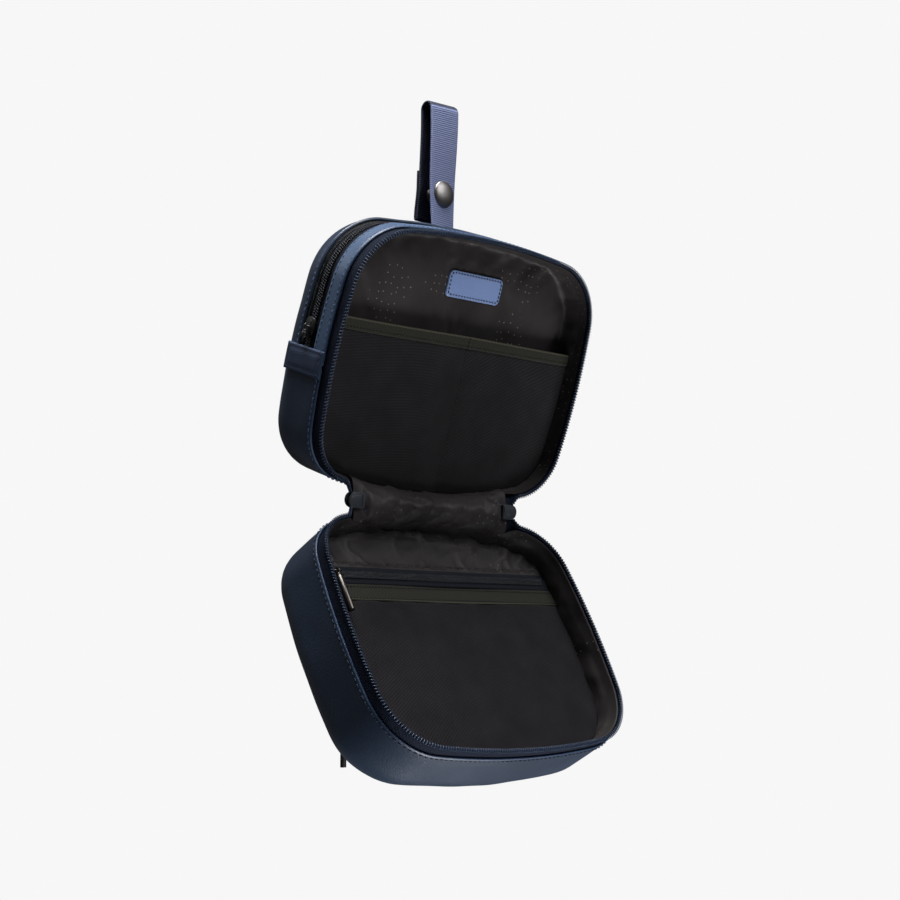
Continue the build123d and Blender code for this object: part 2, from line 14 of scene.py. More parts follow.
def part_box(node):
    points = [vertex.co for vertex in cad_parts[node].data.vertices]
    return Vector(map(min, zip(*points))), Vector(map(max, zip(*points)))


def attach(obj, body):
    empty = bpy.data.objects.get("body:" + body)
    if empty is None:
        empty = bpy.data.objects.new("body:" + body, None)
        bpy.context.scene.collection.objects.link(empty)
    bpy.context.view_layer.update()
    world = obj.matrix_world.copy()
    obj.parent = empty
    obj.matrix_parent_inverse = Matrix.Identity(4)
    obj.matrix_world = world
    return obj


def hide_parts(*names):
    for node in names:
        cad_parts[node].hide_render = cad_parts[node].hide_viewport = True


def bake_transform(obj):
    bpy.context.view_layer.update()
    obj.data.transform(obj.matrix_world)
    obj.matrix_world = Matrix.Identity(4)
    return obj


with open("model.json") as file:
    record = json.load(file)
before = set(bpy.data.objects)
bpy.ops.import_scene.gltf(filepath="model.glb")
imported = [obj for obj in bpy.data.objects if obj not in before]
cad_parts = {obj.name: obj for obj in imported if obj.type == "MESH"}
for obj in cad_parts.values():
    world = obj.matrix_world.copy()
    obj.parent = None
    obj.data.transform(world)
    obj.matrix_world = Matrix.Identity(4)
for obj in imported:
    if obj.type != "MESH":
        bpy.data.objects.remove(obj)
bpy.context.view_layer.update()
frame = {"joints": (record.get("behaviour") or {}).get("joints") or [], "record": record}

MM = 0.001
JOINTS = {joint["name"]: joint for joint in frame["joints"]}
MOUNTS = {mount["name"]: mount for mount in frame["record"]["mounts"]}


def size_of(node):
    """Size of a CAD node's box in millimetres."""
    low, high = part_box(node)
    return np.array(high - low) / MM


# ---- sizes taken from the frame -------------------------------------------------------
HINGE = np.array(JOINTS["clamshell"]["pos_m"]) / MM
BACK_NORMAL = MOUNTS["back_face"]["axis"]
UPPER_TILT = math.atan2(BACK_NORMAL[2], BACK_NORMAL[1])
LOWER_TILT = math.pi + math.radians(JOINTS["clamshell"]["range_deg"][0]) - UPPER_TILT
WIDTH = size_of("lower_shell")[0]
STRAP_WIDTH = size_of("hanging_strap")[0]

# ---- sizes shared with the frame's outline ---------------------------------------------
HEIGHT = 150.0
HINGE_GAP = 0.6
SIDE_R = 380.0
FREE_END_R = 490.0
HINGE_END_R = 315.0
FREE_CORNER_R = 39.0
HINGE_CORNER_R = 30.0
REAR_ROUND = 20.0
UPPER_DEPTH = 50.0
LOWER_DEPTH = 54.0
UPPER_CROWN = 1.6
LOWER_CROWN = 0.8
LEATHER_EDGE = 8.0
BAND_BACK = 18.0
SLOT_BACK = 30.0
ARCH_ZIP_DEPTH = 24.0
TAB_S = (60.0, 74.5)
TAB_MID = sum(TAB_S) / 2
TAB_BACK = 38.0
ZIP_END_X = 67.0
UPPER_FLOOR = 19.5
UPPER_MESH_D = 11.0
BINDING_S = (88.0, 95.0)
LOWER_PANEL_D = 17.0
INNER_ZIP_S = 36.5
INNER_TAPE_S = (31.2, 41.8)
BAND_S = (42.0, 52.0)
OUTER_ZIP_S = 101.0
OUTER_SLOT = (142.0, 9.0)
LABEL = (42.0, 15.0)
LABEL_AT = (10.0, 122.0)
MAIN_COIL_PITCH = 1.7
MAIN_ZIP_INSET = 1.6
MAIN_SLIDER_X = 59.0
LEATHER_THICK = 1.1
TAPE_THICK = 0.5
MESH_THICK = 0.35
CLOTH_INSET = 4.5        # from the outline to the edge of the meshes and bands
SEAM_IN = 1.9            # from a leather edge to its row of stitches
OUTER_SLIDER_X = -65.0
INNER_SLIDER_X = -77.0
ARCH_SLIDER_S = 85.0


# ---- placing points -------------------------------------------------------------------
class Half:
    """Axes of one half of the bag, and the body that it rides on."""

    def __init__(self, body, tilt, up, depth):
        self.body = body
        self.depth = depth
        self.x = np.array([1.0, 0.0, 0.0])
        self.s = np.array([0.0, -math.sin(tilt), up * math.cos(tilt)])
        self.d = np.array([0.0, math.cos(tilt), up * math.sin(tilt)])

    def vec(self, x, s, d):
        """Direction in the row frame."""
        x, s, d = np.broadcast_arrays(x, s, d)
        return x[..., None] * self.x + s[..., None] * self.s + d[..., None] * self.d

    def at(self, x, s, d):
        """Point in the row frame, in millimetres."""
        return HINGE + self.vec(x, s, d)

    def core(self, d):
        """Point on the half's middle axis at a depth."""
        return self.at(0.0, HEIGHT / 2, d)


UPPER = Half("upper_half", UPPER_TILT, 1, UPPER_DEPTH)
LOWER = Half("lower_half", LOWER_TILT, -1, LOWER_DEPTH)


def corner_centre(end_y, end_r, corner_r, toward):
    """Centre of the right-hand corner arc, tangent inside the side arc and an end arc."""
    side = complex(WIDTH / 2 - SIDE_R, HEIGHT / 2)
    end = complex(0, end_y)
    ra, rb = SIDE_R - corner_r, end_r - corner_r
    span = abs(end - side)
    along = (ra * ra - rb * rb + span * span) / (2 * span)
    off = math.sqrt(ra * ra - along * along)
    direction = (end - side) / span
    options = [side + direction * complex(along, sign * off) for sign in (1, -1)]
    return max(options, key=lambda c: c.real + toward * c.imag * 0.01)


def outline_arcs():
    """The outline as (centre, radius, first angle, last angle), anticlockwise from the hinge."""
    side = complex(WIDTH / 2 - SIDE_R, HEIGHT / 2)
    top = complex(0, HEIGHT - FREE_END_R)
    base = complex(0, HINGE_END_R)
    high = corner_centre(top.imag, FREE_END_R, FREE_CORNER_R, 1)
    low = corner_centre(base.imag, HINGE_END_R, HINGE_CORNER_R, -1)
    angle = lambda a, b: math.atan2((b - a).imag, (b - a).real)
    base_end, side_start = angle(base, low), angle(side, low)
    side_end, top_start = angle(side, high), angle(top, high)
    right = [
        (base, HINGE_END_R, -math.pi / 2, base_end),
        (low, HINGE_CORNER_R, base_end, side_start),
        (side, SIDE_R, side_start, side_end),
        (high, FREE_CORNER_R, side_end, top_start),
        (top, FREE_END_R, top_start, math.pi / 2),
    ]
    left = [(complex(-c.real, c.imag), r, math.pi - b, math.pi - a) for c, r, a, b in right]
    return right + left[::-1]


ARCS = outline_arcs()
ARC_LENGTHS = np.array([r * (b - a) for _, r, a, b in ARCS])
PERIMETER = ARC_LENGTHS.sum()


def outline(u):
    """Points and outward normals of the outline at distances u along it from the hinge."""
    u = np.mod(u, PERIMETER)
    ends = np.cumsum(ARC_LENGTHS)
    index = np.minimum(np.searchsorted(ends, u, side="right"), len(ARCS) - 1)
    centre = np.array([c for c, _, _, _ in ARCS])[index]
    radius = np.array([r for _, r, _, _ in ARCS])[index]
    start = np.array([a for _, _, a, _ in ARCS])[index]
    turn = start + (u - (ends - ARC_LENGTHS)[index]) / radius
    normal = np.stack([np.cos(turn), np.sin(turn)], -1)
    point = np.stack([centre.real, centre.imag + HINGE_GAP], -1) + radius[..., None] * normal
    return point, normal


def outward(half, u):
    """Outward directions of a half's wall at distances u, as a column of a grid."""
    normal = outline(u)[1]
    return half.vec(normal[:, 0], normal[:, 1], 0)[:, None]


_dense = np.linspace(0, PERIMETER / 2, 4001)
_dense_points = outline(_dense)[0]


def distance_at_s(s, side=1):
    """Distance along the outline where its right (1) or left (-1) side reaches s."""
    right = np.interp(s, _dense_points[:, 1], _dense)
    return right if side > 0 else PERIMETER - right


def distance_at_x(x):
    """Distance along the hinge end of the outline where it reaches x, on the right."""
    near = _dense < PERIMETER / 4
    return float(np.interp(x, _dense_points[near, 0], _dense[near]))


def half_width(s, inset):
    """Half width of the outline moved in by inset, at any height."""
    point, normal = outline(_dense)
    rim = point - inset * normal
    low, high = rim[0, 1] + 0.02, rim[-1, 1] - 0.02
    return np.interp(np.clip(s, low, high), rim[:, 1], rim[:, 0])


def hinge_rise(x):
    """Height of the outline's hinge end above the hinge line."""
    return HINGE_GAP + HINGE_END_R - np.sqrt(HINGE_END_R**2 - np.square(x))


def wobble(points, length, seed, waves=7):
    """Smooth pseudo-random field of unit size, from sines about a length long."""
    rng = np.random.default_rng(seed)
    total = np.zeros(points.shape[:-1])
    for _ in range(waves):
        direction = rng.normal(size=3)
        direction /= np.linalg.norm(direction)
        rate = 2 * math.pi / (length * rng.uniform(0.7, 1.6))
        total += np.sin(points @ direction * rate + rng.uniform(0, 2 * math.pi))
    return total / math.sqrt(waves)


def smooth(edge0, edge1, x):
    """Smooth step from 0 to 1."""
    t = np.clip((x - edge0) / (edge1 - edge0), 0, 1)
    return t * t * (3 - 2 * t)


def unit(v):
    """Rows scaled to length 1."""
    return v / np.maximum(np.linalg.norm(v, axis=-1, keepdims=True), 1e-9)


# ---- materials ------------------------------------------------------------------------
class Shader:
    """A Principled material and a short way to add nodes to it."""

    def __init__(self, name, color, rough, metallic=0.0, **inputs):
        self.mat = bpy.data.materials.new(name)
        self.mat.use_nodes = True
        self.tree = self.mat.node_tree
        self.bsdf = self.tree.nodes["Principled BSDF"]
        self.put("Base Color", (*color, 1))
        self.put("Roughness", rough)
        self.put("Metallic", metallic)
        for key, value in inputs.items():
            self.put(key.replace("_", " "), value)
        self.height = None

    def feed(self, socket, value):
        """Sets an input to a value, or links it to another node's output."""
        if isinstance(value, bpy.types.NodeSocket):
            self.tree.links.new(value, socket)
        else:
            socket.default_value = value

    def put(self, name, value):
        self.feed(self.bsdf.inputs[name], value)

    def node(self, kind, inputs=None, **settings):
        """Adds a node; inputs maps socket names or numbers to values or sockets."""
        made = self.tree.nodes.new("ShaderNode" + kind)
        for key, value in settings.items():
            setattr(made, key, value)
        for key, value in (inputs or {}).items():
            self.feed(made.inputs[key], value)
        return made

    def coords(self, scale=(1, 1, 1), source="Object", turn=0.0):
        """Texture coordinates, scaled; one unit is a metre before scaling."""
        raw = self.node("TexCoord").outputs[source]
        mapping = self.node("Mapping", {"Vector": raw, "Scale": scale, "Rotation": (0, 0, turn)})
        return mapping.outputs["Vector"]

    def math(self, operation, *values):
        return self.node("Math", dict(enumerate(values)), operation=operation).outputs[0]

    def cells(self, scale, randomness, turn=0.0):
        """Distance to the nearest of the points scattered on the UV plane."""
        inputs = {"Vector": self.coords(scale, "UV", turn), "Scale": 1.0,
                  "Randomness": randomness}
        return self.node("TexVoronoi", inputs, voronoi_dimensions="2D").outputs["Distance"]

    def noise(self, scale, detail, source="Object", stretch=(1, 1, 1)):
        inputs = {"Vector": self.coords(stretch, source), "Scale": scale, "Detail": detail}
        return self.node("TexNoise", inputs).outputs["Fac"]

    def ramp(self, value, stops):
        """Colour ramp from (position, colour) stops."""
        made = self.node("ValToRGB", {"Fac": value})
        ramp = made.color_ramp
        while len(ramp.elements) < len(stops):
            ramp.elements.new(0.5)
        for element, (position, color) in zip(ramp.elements, stops):
            element.position = position
            element.color = (*color, 1)
        return made.outputs["Color"]

    def mix(self, factor, a, b):
        """Mixes two colours, given as values or sockets."""
        a, b = (v if isinstance(v, bpy.types.NodeSocket) else (*v, 1) for v in (a, b))
        return self.node("Mix", {0: factor, 6: a, 7: b}, data_type="RGBA").outputs[2]

    def bump(self, height, distance, strength=1.0):
        """Adds a layer of bump; distance is in millimetres."""
        inputs = {"Height": height, "Distance": distance * MM, "Strength": strength}
        if self.height:
            inputs["Normal"] = self.height
        made = self.node("Bump", inputs)
        self.height = made.outputs["Normal"]
        self.put("Normal", self.height)


def wave01(shader, pitch, axis, shift=None):
    """Sine of a UV coordinate as a 0 to 1 value."""
    split = shader.node("SeparateXYZ", {0: shader.coords(source="UV")})
    phase = shader.math("MULTIPLY", split.outputs[axis], 2 * math.pi / (pitch * MM))
    if shift is not None:
        phase = shader.math("ADD", phase, shift)
    half = shader.math("MULTIPLY", shader.math("SINE", phase), 0.5)
    return shader.math("ADD", half, 0.5)


GRAIN = 0.07


def leather(name, dark, light, rough):
    """Fine-grained coated leather with slow colour variation and paler worn edges."""
    made = Shader(name, dark, rough, Sheen_Weight=0.02, Specular_IOR_Level=0.45)
    blotch = made.noise(18, 4)
    tone = made.ramp(blotch, [(0.3, dark), (0.75, light)])
    worn = made.node("NewGeometry").outputs["Pointiness"]
    edge = made.ramp(worn, [(0.53, (0, 0, 0)), (0.62, (1, 1, 1))])
    pale = [min(1, c * 2.2 + 0.01) for c in light]
    made.put("Base Color", made.mix(made.math("MULTIPLY", edge, 0.35), tone, pale))
    cells = made.node("TexVoronoi", {"Vector": made.coords(), "Scale": 1100})
    fine = made.noise(2600, 2)
    made.bump(cells.outputs["Distance"], GRAIN)
    made.bump(fine, GRAIN / 2)
    made.bump(made.noise(90, 3), 0.18, 0.6)
    made.put("Roughness", made.math("MULTIPLY_ADD", blotch, 0.16, rough - 0.08))
    return made.mat


def tape(name, dark, light):
    """Zip tape: herringbone weave that follows the tape."""
    made = Shader(name, dark, 0.8, Specular_IOR_Level=0.12)
    across = wave01(made, 1.3, 1)
    weave = wave01(made, 0.9, 0, shift=made.math("MULTIPLY", across, 3.0))
    speck = made.noise(900, 3)
    blend = made.math("MULTIPLY", made.math("ADD", weave, speck), 0.5)
    made.put("Base Color", made.ramp(blend, [(0.25, dark), (0.8, light)]))
    made.bump(weave, 0.12)
    made.bump(speck, 0.1, 0.6)
    return made.mat


def ribbed(name, dark, light, pitch):
    """Grosgrain: ribs across the length, with a fine yarn grain."""
    made = Shader(name, dark, 0.7, Specular_IOR_Level=0.2)
    rib = wave01(made, pitch, 0)
    yarn = made.noise(1500, 2)
    blend = made.math("MULTIPLY_ADD", yarn, 0.35, made.math("MULTIPLY", rib, 0.65))
    made.put("Base Color", made.ramp(blend, [(0.15, dark), (0.85, light)]))
    made.bump(rib, 0.15)
    made.bump(yarn, 0.12, 0.7)
    return made.mat


def nylon(name, dark, light):
    """Satin nylon lining with a sparse print of tiny pale dots."""
    made = Shader(name, dark, 0.52, Sheen_Weight=0.02, Specular_IOR_Level=0.2)
    tone = made.ramp(made.noise(30, 4), [(0.3, dark), (0.7, light)])
    dot = made.math("LESS_THAN", made.cells((210, 210, 210), 0.55), 0.07)
    here = made.math("GREATER_THAN", made.noise(32, 0.5, "UV"), 0.56)
    mask = made.math("MULTIPLY", dot, here)
    made.put("Base Color", made.mix(made.math("MULTIPLY", mask, 0.8), tone, (0.22, 0.19, 0.16)))
    made.bump(wave01(made, 0.45, 0), 0.03)
    made.bump(made.noise(240, 4), 0.12, 0.5)
    return made.mat


def mesh_cloth(name, dark, light):
    """Fine mesh: a close grid of round holes."""
    made = Shader(name, dark, 0.85, Specular_IOR_Level=0.1)
    cells = made.cells((760, 760, 1), 0.12, 0.6)
    hole = made.math("GREATER_THAN", cells, 0.33)
    thread = made.ramp(made.noise(60, 3), [(0.3, dark), (0.75, light)])
    # The holes are painted darker than the threads: painted shade of the pocket behind them, as the
    # sheet itself is closed.
    black = [c * 0.5 for c in dark]
    made.put("Base Color", made.mix(hole, black, thread))
    made.bump(cells, 0.2)
    return made.mat


def metal(name, color, rough):
    """Plated metal with faint brushing and slightly uneven roughness."""
    made = Shader(name, color, rough, metallic=1.0)
    brushed = made.noise(700, 4, stretch=(1, 1, 6))
    made.put("Roughness", made.math("MULTIPLY_ADD", brushed, 0.2, rough - 0.08))
    made.bump(brushed, 0.05, 0.4)
    return made.mat


def enamel(name, color, rough):
    """Painted metal with a faint orange-peel surface and paler worn edges."""
    made = Shader(name, color, rough, Coat_Weight=0.2)
    worn = made.node("NewGeometry").outputs["Pointiness"]
    edge = made.ramp(worn, [(0.55, (0, 0, 0)), (0.66, (1, 1, 1))])
    pale = [min(1, c * 3 + 0.03) for c in color]
    made.put("Base Color", made.mix(made.math("MULTIPLY", edge, 0.6), color, pale))
    made.bump(made.noise(900, 3), 0.04)
    return made.mat


def plastic(name, dark, light, rough):
    """Nylon coil or thread: satin, with a little colour variation."""
    made = Shader(name, dark, rough, Specular_IOR_Level=0.4)
    made.put("Base Color", made.ramp(made.noise(800, 2), [(0.3, dark), (0.7, light)]))
    made.bump(made.noise(3000, 2), 0.03)
    return made.mat


def foam(name):
    """Open-cell foam, hidden between the layers."""
    made = Shader(name, (0.1, 0.1, 0.1), 0.95)
    cells = made.node("TexVoronoi", {"Vector": made.coords(), "Scale": 1500})
    made.put("Base Color", made.ramp(cells.outputs["Distance"],
                                     [(0.1, (0.05, 0.05, 0.05)), (0.6, (0.16, 0.16, 0.16))]))
    made.bump(cells.outputs["Distance"], 0.3)
    return made.mat


NAVY = leather("navy_leather", (0.010, 0.019, 0.038), (0.016, 0.029, 0.057), 0.4)
# Paler blue for the turned leather edges, tab rims and pocket welt: partly burnished leather,
# partly a painted highlight where the edges catch the light.
NAVY_EDGE_BURNISH_AND_HIGHLIGHT = leather("navy_leather_edge_burnish_and_highlight", (0.016, 0.034, 0.075), (0.024, 0.049, 0.105), 0.42)
# The front band's navy leather painted lighter than the walls: a lit copy of the same leather,
# painted light for the light that falls on the band.
LIT_BAND_LEATHER = leather("band_leather_painted_lit", (0.036, 0.064, 0.120), (0.055, 0.096, 0.175), 0.42)
TAB_LEATHER = leather("tab_leather", (0.017, 0.028, 0.060), (0.024, 0.040, 0.084), 0.46)
BLUE = leather("label_leather", (0.130, 0.190, 0.370), (0.170, 0.245, 0.445), 0.5)
NAVY_TAPE = tape("navy_tape", (0.002, 0.004, 0.010), (0.006, 0.011, 0.026))
BLACK_TAPE = tape("black_tape", (0.0034, 0.0044, 0.0072), (0.0105, 0.0130, 0.0195))
NAVY_COIL = plastic("navy_coil", (0.014, 0.024, 0.048), (0.03, 0.05, 0.095), 0.3)
BLACK_COIL = plastic("black_coil", (0.0035, 0.005, 0.009), (0.010, 0.0125, 0.02), 0.35)
THREAD = plastic("navy_thread", (0.035, 0.065, 0.14), (0.06, 0.105, 0.22), 0.6)
LABEL_THREAD = plastic("label_thread", (0.008, 0.014, 0.045), (0.013, 0.024, 0.07), 0.6)
DIM_THREAD = plastic("dim_thread", (0.010, 0.018, 0.040), (0.017, 0.029, 0.062), 0.7)
DARK_THREAD = plastic("dark_thread", (0.0015, 0.0015, 0.0016), (0.004, 0.004, 0.004), 0.8)
LINING = nylon("lining", (0.0125, 0.0106, 0.0110), (0.026, 0.0223, 0.0228))
MESH = mesh_cloth("mesh", (0.0095, 0.0086, 0.0100), (0.0155, 0.0140, 0.0160))
BINDING = ribbed("binding", (0.006, 0.0062, 0.0045), (0.017, 0.017, 0.0118), 1.1)
WEBBING = ribbed("webbing", (0.075, 0.098, 0.190), (0.225, 0.260, 0.430), 1.2)
# Darker copy of the same webbing for the back of the loop, the free leg and its hem: painted shade
# of the leg that lies in the shadow of the front leg.
WEBBING_PAINTED_SHADE = ribbed("webbing_painted_shade", (0.012, 0.014, 0.026), (0.032, 0.037, 0.062), 1.2)
GUNMETAL = metal("gunmetal", (0.10, 0.092, 0.085), 0.3)
SNAP_METAL = metal("snap_metal", (0.20, 0.19, 0.187), 0.36)
SLATE = enamel("slate_enamel", (0.019, 0.023, 0.03), 0.42)
BLACK_METAL = enamel("black_enamel", (0.007, 0.007, 0.008), 0.45)
FOAM = foam("foam")


# ---- mesh building --------------------------------------------------------------------
def faces_out(points, faces, facing=None, centre=None):
    """The faces, turned over if most of them look away from facing or towards centre."""
    corners = np.array([face[:3] for face in faces])
    a, b, c = (points[corners[:, k]] for k in range(3))
    normal = np.cross(b - a, c - a)
    want = np.asarray(facing, float) if centre is None else a - centre
    if (normal * want).sum() < 0:
        return [face[::-1] for face in faces]
    return faces


def linked(name, data):
    """Object of a data block, in the scene."""
    made = bpy.data.objects.new(name, data)
    bpy.context.scene.collection.objects.link(made)
    return made


def make_object(name, points, faces, material, uv=None):
    """Mesh object from points in millimetres, with optional UVs in millimetres."""
    mesh = bpy.data.meshes.new(name)
    mesh.from_pydata((np.asarray(points, float) * MM).tolist(), [], faces)
    mesh.validate()
    if uv is not None:
        layer = mesh.uv_layers.new(name="UVMap")
        corner = np.zeros(len(mesh.loops), np.int32)
        mesh.loops.foreach_get("vertex_index", corner)
        layer.data.foreach_set("uv", (np.asarray(uv)[corner] * MM).astype(np.float32).ravel())
    mesh.shade_smooth()
    mesh.materials.append(material)
    return linked(name, mesh)


def grid_faces(rows, columns, wrap_rows=False):
    """Quads of a grid of points; rows may close on themselves."""
    last = rows if wrap_rows else rows - 1
    starts = [(i * columns, (i + 1) % rows * columns) for i in range(last)]
    return [(a + j, b + j, b + j + 1, a + j + 1) for a, b in starts for j in range(columns - 1)]


def sheet(name, points, material, wrap=False, uv=None, facing=None, centre=None, cap=False):
    """Smooth sheet from an array of points (rows, columns, 3); UVs follow arc length."""
    rows, columns = points.shape[:2]
    if uv is None:
        along = np.linalg.norm(np.diff(points, axis=0), axis=-1).mean(1)
        across = np.linalg.norm(np.diff(points, axis=1), axis=-1)
        u = np.concatenate([[0], np.cumsum(along)])[:, None] * np.ones((1, columns))
        v = np.concatenate([np.zeros((rows, 1)), np.cumsum(across, axis=1)], axis=1)
        uv = np.stack([u, v], -1)
    faces = grid_faces(rows, columns, wrap)
    flat = points.reshape(-1, 3)
    if cap:
        faces.append(tuple((i + 1) * columns - 1 for i in range(rows)))
    if facing is not None or centre is not None:
        faces = faces_out(flat, faces, facing, centre)
    return make_object(name, flat, faces, material, uv.reshape(-1, 2))


def thicken(piece, thickness, offset=-1.0, rim=True):
    """Gives a sheet a thickness; offset -1 grows against its normals."""
    solid = piece.modifiers.new("thickness", "SOLIDIFY")
    solid.thickness = thickness * MM
    solid.offset = offset
    solid.use_rim = rim
    return piece


def finish_piece(piece, body, slot, *nodes):
    """Rides a piece on its body and hides the nodes it stands for."""
    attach(piece, body)
    if nodes:
        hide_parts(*nodes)
    return piece


def ring_faces(rows, sides, closed=False):
    """Quads between rings of points; both ends are capped unless the rings close."""
    starts = [(i * sides, (i + 1) % rows * sides) for i in range(rows if closed else rows - 1)]
    turns = [(j, (j + 1) % sides) for j in range(sides)]
    faces = [(a + j, a + k, b + k, b + j) for a, b in starts for j, k in turns]
    if not closed:
        faces += [tuple(range(sides))[::-1], tuple(range((rows - 1) * sides, rows * sides))]
    return faces


def tube(path, radius, sides, reference, closed=False):
    """Points and faces of a tube along a path; reference steers its section."""
    if closed:
        tangent = np.roll(path, -1, 0) - np.roll(path, 1, 0)
    else:
        tangent = np.gradient(path, axis=0)
    tangent = unit(tangent)
    side = unit(np.cross(tangent, reference))
    up = np.cross(side, tangent)
    turn = np.linspace(0, 2 * math.pi, sides, endpoint=False)
    ring = np.cos(turn)[None, :, None] * side[:, None] + np.sin(turn)[None, :, None] * up[:, None]
    points = path[:, None] + radius * ring
    return points.reshape(-1, 3), ring_faces(len(path), sides, closed)


def closed(rows):
    """A loop of rows with its first row repeated at its end."""
    return np.concatenate([rows, rows[:1]])


def join(parts):
    """Joins (points, faces) lists into one."""
    points, faces, base = [], [], 0
    for part_points, part_faces in parts:
        points.append(part_points)
        faces.extend(tuple(i + base for i in face) for face in part_faces)
        base += len(part_points)
    return np.concatenate(points), faces


def resample(path, step, *others):
    """Points at equal steps along a path, with matching rows of other arrays."""
    gaps = np.linalg.norm(np.diff(path, axis=0), axis=1)
    along = np.concatenate([[0], np.cumsum(gaps)])
    count = max(2, int(round(along[-1] / step)) + 1)
    wanted = np.linspace(0, along[-1], count)
    pick = lambda rows: np.stack([np.interp(wanted, along, rows[:, k]) for k in range(3)], -1)
    return [pick(path)] + [unit(pick(rows)) for rows in others]


STITCH = (2.2, 3.3, 0.3)     # length, pitch, radius
STITCH_SIDES = 6
STITCH_LIFT = 0.08


def stitches(path, normals, size):
    """Points and faces of a row of short rounded threads lying on a surface."""
    length, pitch, radius = size
    spots, ups = resample(path, pitch, np.broadcast_to(normals, path.shape))
    along = unit(np.gradient(spots, axis=0))
    side = unit(np.cross(along, ups))
    stations = np.array([-0.5, -0.36, 0.0, 0.36, 0.5])
    widths = np.array([0.35, 0.9, 1.0, 0.9, 0.35])
    heights = np.array([-0.5, 0.0, 0.35, 0.0, -0.5])
    turn = np.linspace(0, 2 * math.pi, STITCH_SIDES, endpoint=False)[None, None, :, None]
    centre = (
        spots[:, None]
        + along[:, None] * stations[None, :, None] * length
        + ups[:, None] * (STITCH_LIFT + heights[None, :, None] * radius)
    )
    ring = np.cos(turn) * side[:, None, None] + np.sin(turn) * ups[:, None, None]
    points = centre[:, :, None] + radius * widths[None, :, None, None] * ring
    faces = ring_faces(len(stations), STITCH_SIDES)
    return join([(stitch.reshape(-1, 3), faces) for stitch in points])


def coil(path, side, normal, pitch, width, height, radius, phase=0.0, steps=12, sides=5):
    """Points and faces of a flattened helix along a path."""
    spots, across, up = resample(path, pitch / steps, side, normal)
    turn = np.arange(len(spots)) * 2 * math.pi / steps + phase
    out, rise = (width * np.cos(turn))[:, None], (height * np.sin(turn))[:, None]
    centre = spots + across * out + up * rise
    along = unit(np.gradient(spots, axis=0))
    return tube(centre, radius, sides, along)


# ---- outline lofts --------------------------------------------------------------------
def arch_range(s=TAB_MID):
    """Distances along the outline from the right side at s, over the free end, to the left."""
    return distance_at_s(s), distance_at_s(s, -1)


def base_range(s=TAB_MID):
    """Distances along the outline from the left side at s, past the hinge, to the right."""
    return -distance_at_s(s), distance_at_s(s)


def zip_range(x=ZIP_END_X):
    """Distances along the outline from the right end of the main zip round to the left end."""
    return distance_at_x(x), PERIMETER - distance_at_x(x)


def loft(half, u, insets, depths):
    """Points of a band that follows the outline; insets and depths are (len(u), columns)."""
    point, normal = outline(u)
    flat = point[:, None] - insets[..., None] * normal[:, None]
    return half.at(flat[..., 0], flat[..., 1], depths)


def strip(half, u, profile):
    """Band with the same (inset, depth) profile all along."""
    profile = np.asarray(profile, float)
    ones = np.ones((len(u), 1))
    return loft(half, u, ones * profile[:, 0], ones * profile[:, 1])


def wall_path(half, u, inset, depth):
    """Path on the wall with its outward normals."""
    point, normal = outline(u)
    flat = point - inset * normal
    return half.at(flat[:, 0], flat[:, 1], depth), half.vec(normal[:, 0], normal[:, 1], 0)


def quarter(steps, first=0):
    """Angles of a quarter turn in equal steps."""
    return np.linspace(0, math.pi / 2, steps)[first:]


def spaced(start, end, step):
    """Values from start to end about a step apart."""
    return np.linspace(start, end, max(2, int(round((end - start) / step)) + 1))


def with_panel(half, points, depth, rings, last=0.02, crown=0.0):
    """A wall's points with a panel added: rings that shrink to the middle at a depth."""
    middle = half.core(depth)
    shrink = np.linspace(1, last, rings)[1:, None]
    panel = middle + shrink * (points[:, -1:] - middle) + half.d * crown * (1 - shrink**2)
    return np.concatenate([points, panel], 1)


# ---- leather --------------------------------------------------------------------------
def shell_points(half, front, crown, seed):
    """Grid of a half's leather: turned edge, wall, rounded rear edge and crowned panel."""
    u = np.linspace(0, PERIMETER, 420, endpoint=False)
    front = front(u)[:, None]
    ones = np.ones_like(front)
    wall_end = half.depth - REAR_ROUND
    edge_in = np.array([[1.25, 1.2, 0.8, 0.25, 0.0]])
    edge_rise = np.array([[1.4, 0.5, 0.05, 0.05, 0.6]])
    steps = np.linspace(0, 1, 16)[None, 1:]
    turn = quarter(13, 1)[None]
    insets = [ones * edge_in, ones * 0 * steps, ones * REAR_ROUND * (1 - np.cos(turn))]
    depths = [front + edge_rise, front + 0.6 + (wall_end - front - 0.6) * steps,
              ones * (wall_end + REAR_ROUND * np.sin(turn))]
    points = loft(half, u, np.concatenate(insets, 1), np.concatenate(depths, 1))
    points = with_panel(half, points, half.depth, 30, crown=crown)
    column = np.arange(points.shape[1])
    back = smooth(20, 32, column)[None, :, None]
    direction = unit(outward(half, u) * (1 - back) + half.d * back)
    soft = 0.3 * wobble(points, 60, seed) + 0.12 * wobble(points, 24, seed + 1)
    return points + direction * (soft * smooth(2, 9, column)[None, :])[..., None]


def paint(piece, columns, material, chosen):
    """Second material on the quads of a grid where chosen(row, column) holds."""
    piece.data.materials.append(material)
    for number, face in enumerate(piece.data.polygons):
        if len(face.vertices) == 4 and chosen(*divmod(number, columns)):
            face.material_index = 1


def turned_edge(row, column):
    """True on the columns of a leather edge that is turned under."""
    return 1 <= column < 4


def upper_front(u):
    """Depth where the upper leather starts: behind the zip over the arch, else at the edge."""
    point, _ = outline(u)
    return LEATHER_EDGE + (SLOT_BACK - LEATHER_EDGE) * smooth(TAB_MID - 2, TAB_MID + 2, point[:, 1])


def lower_front(u):
    """Depth where the lower leather starts."""
    return np.full_like(u, LEATHER_EDGE)


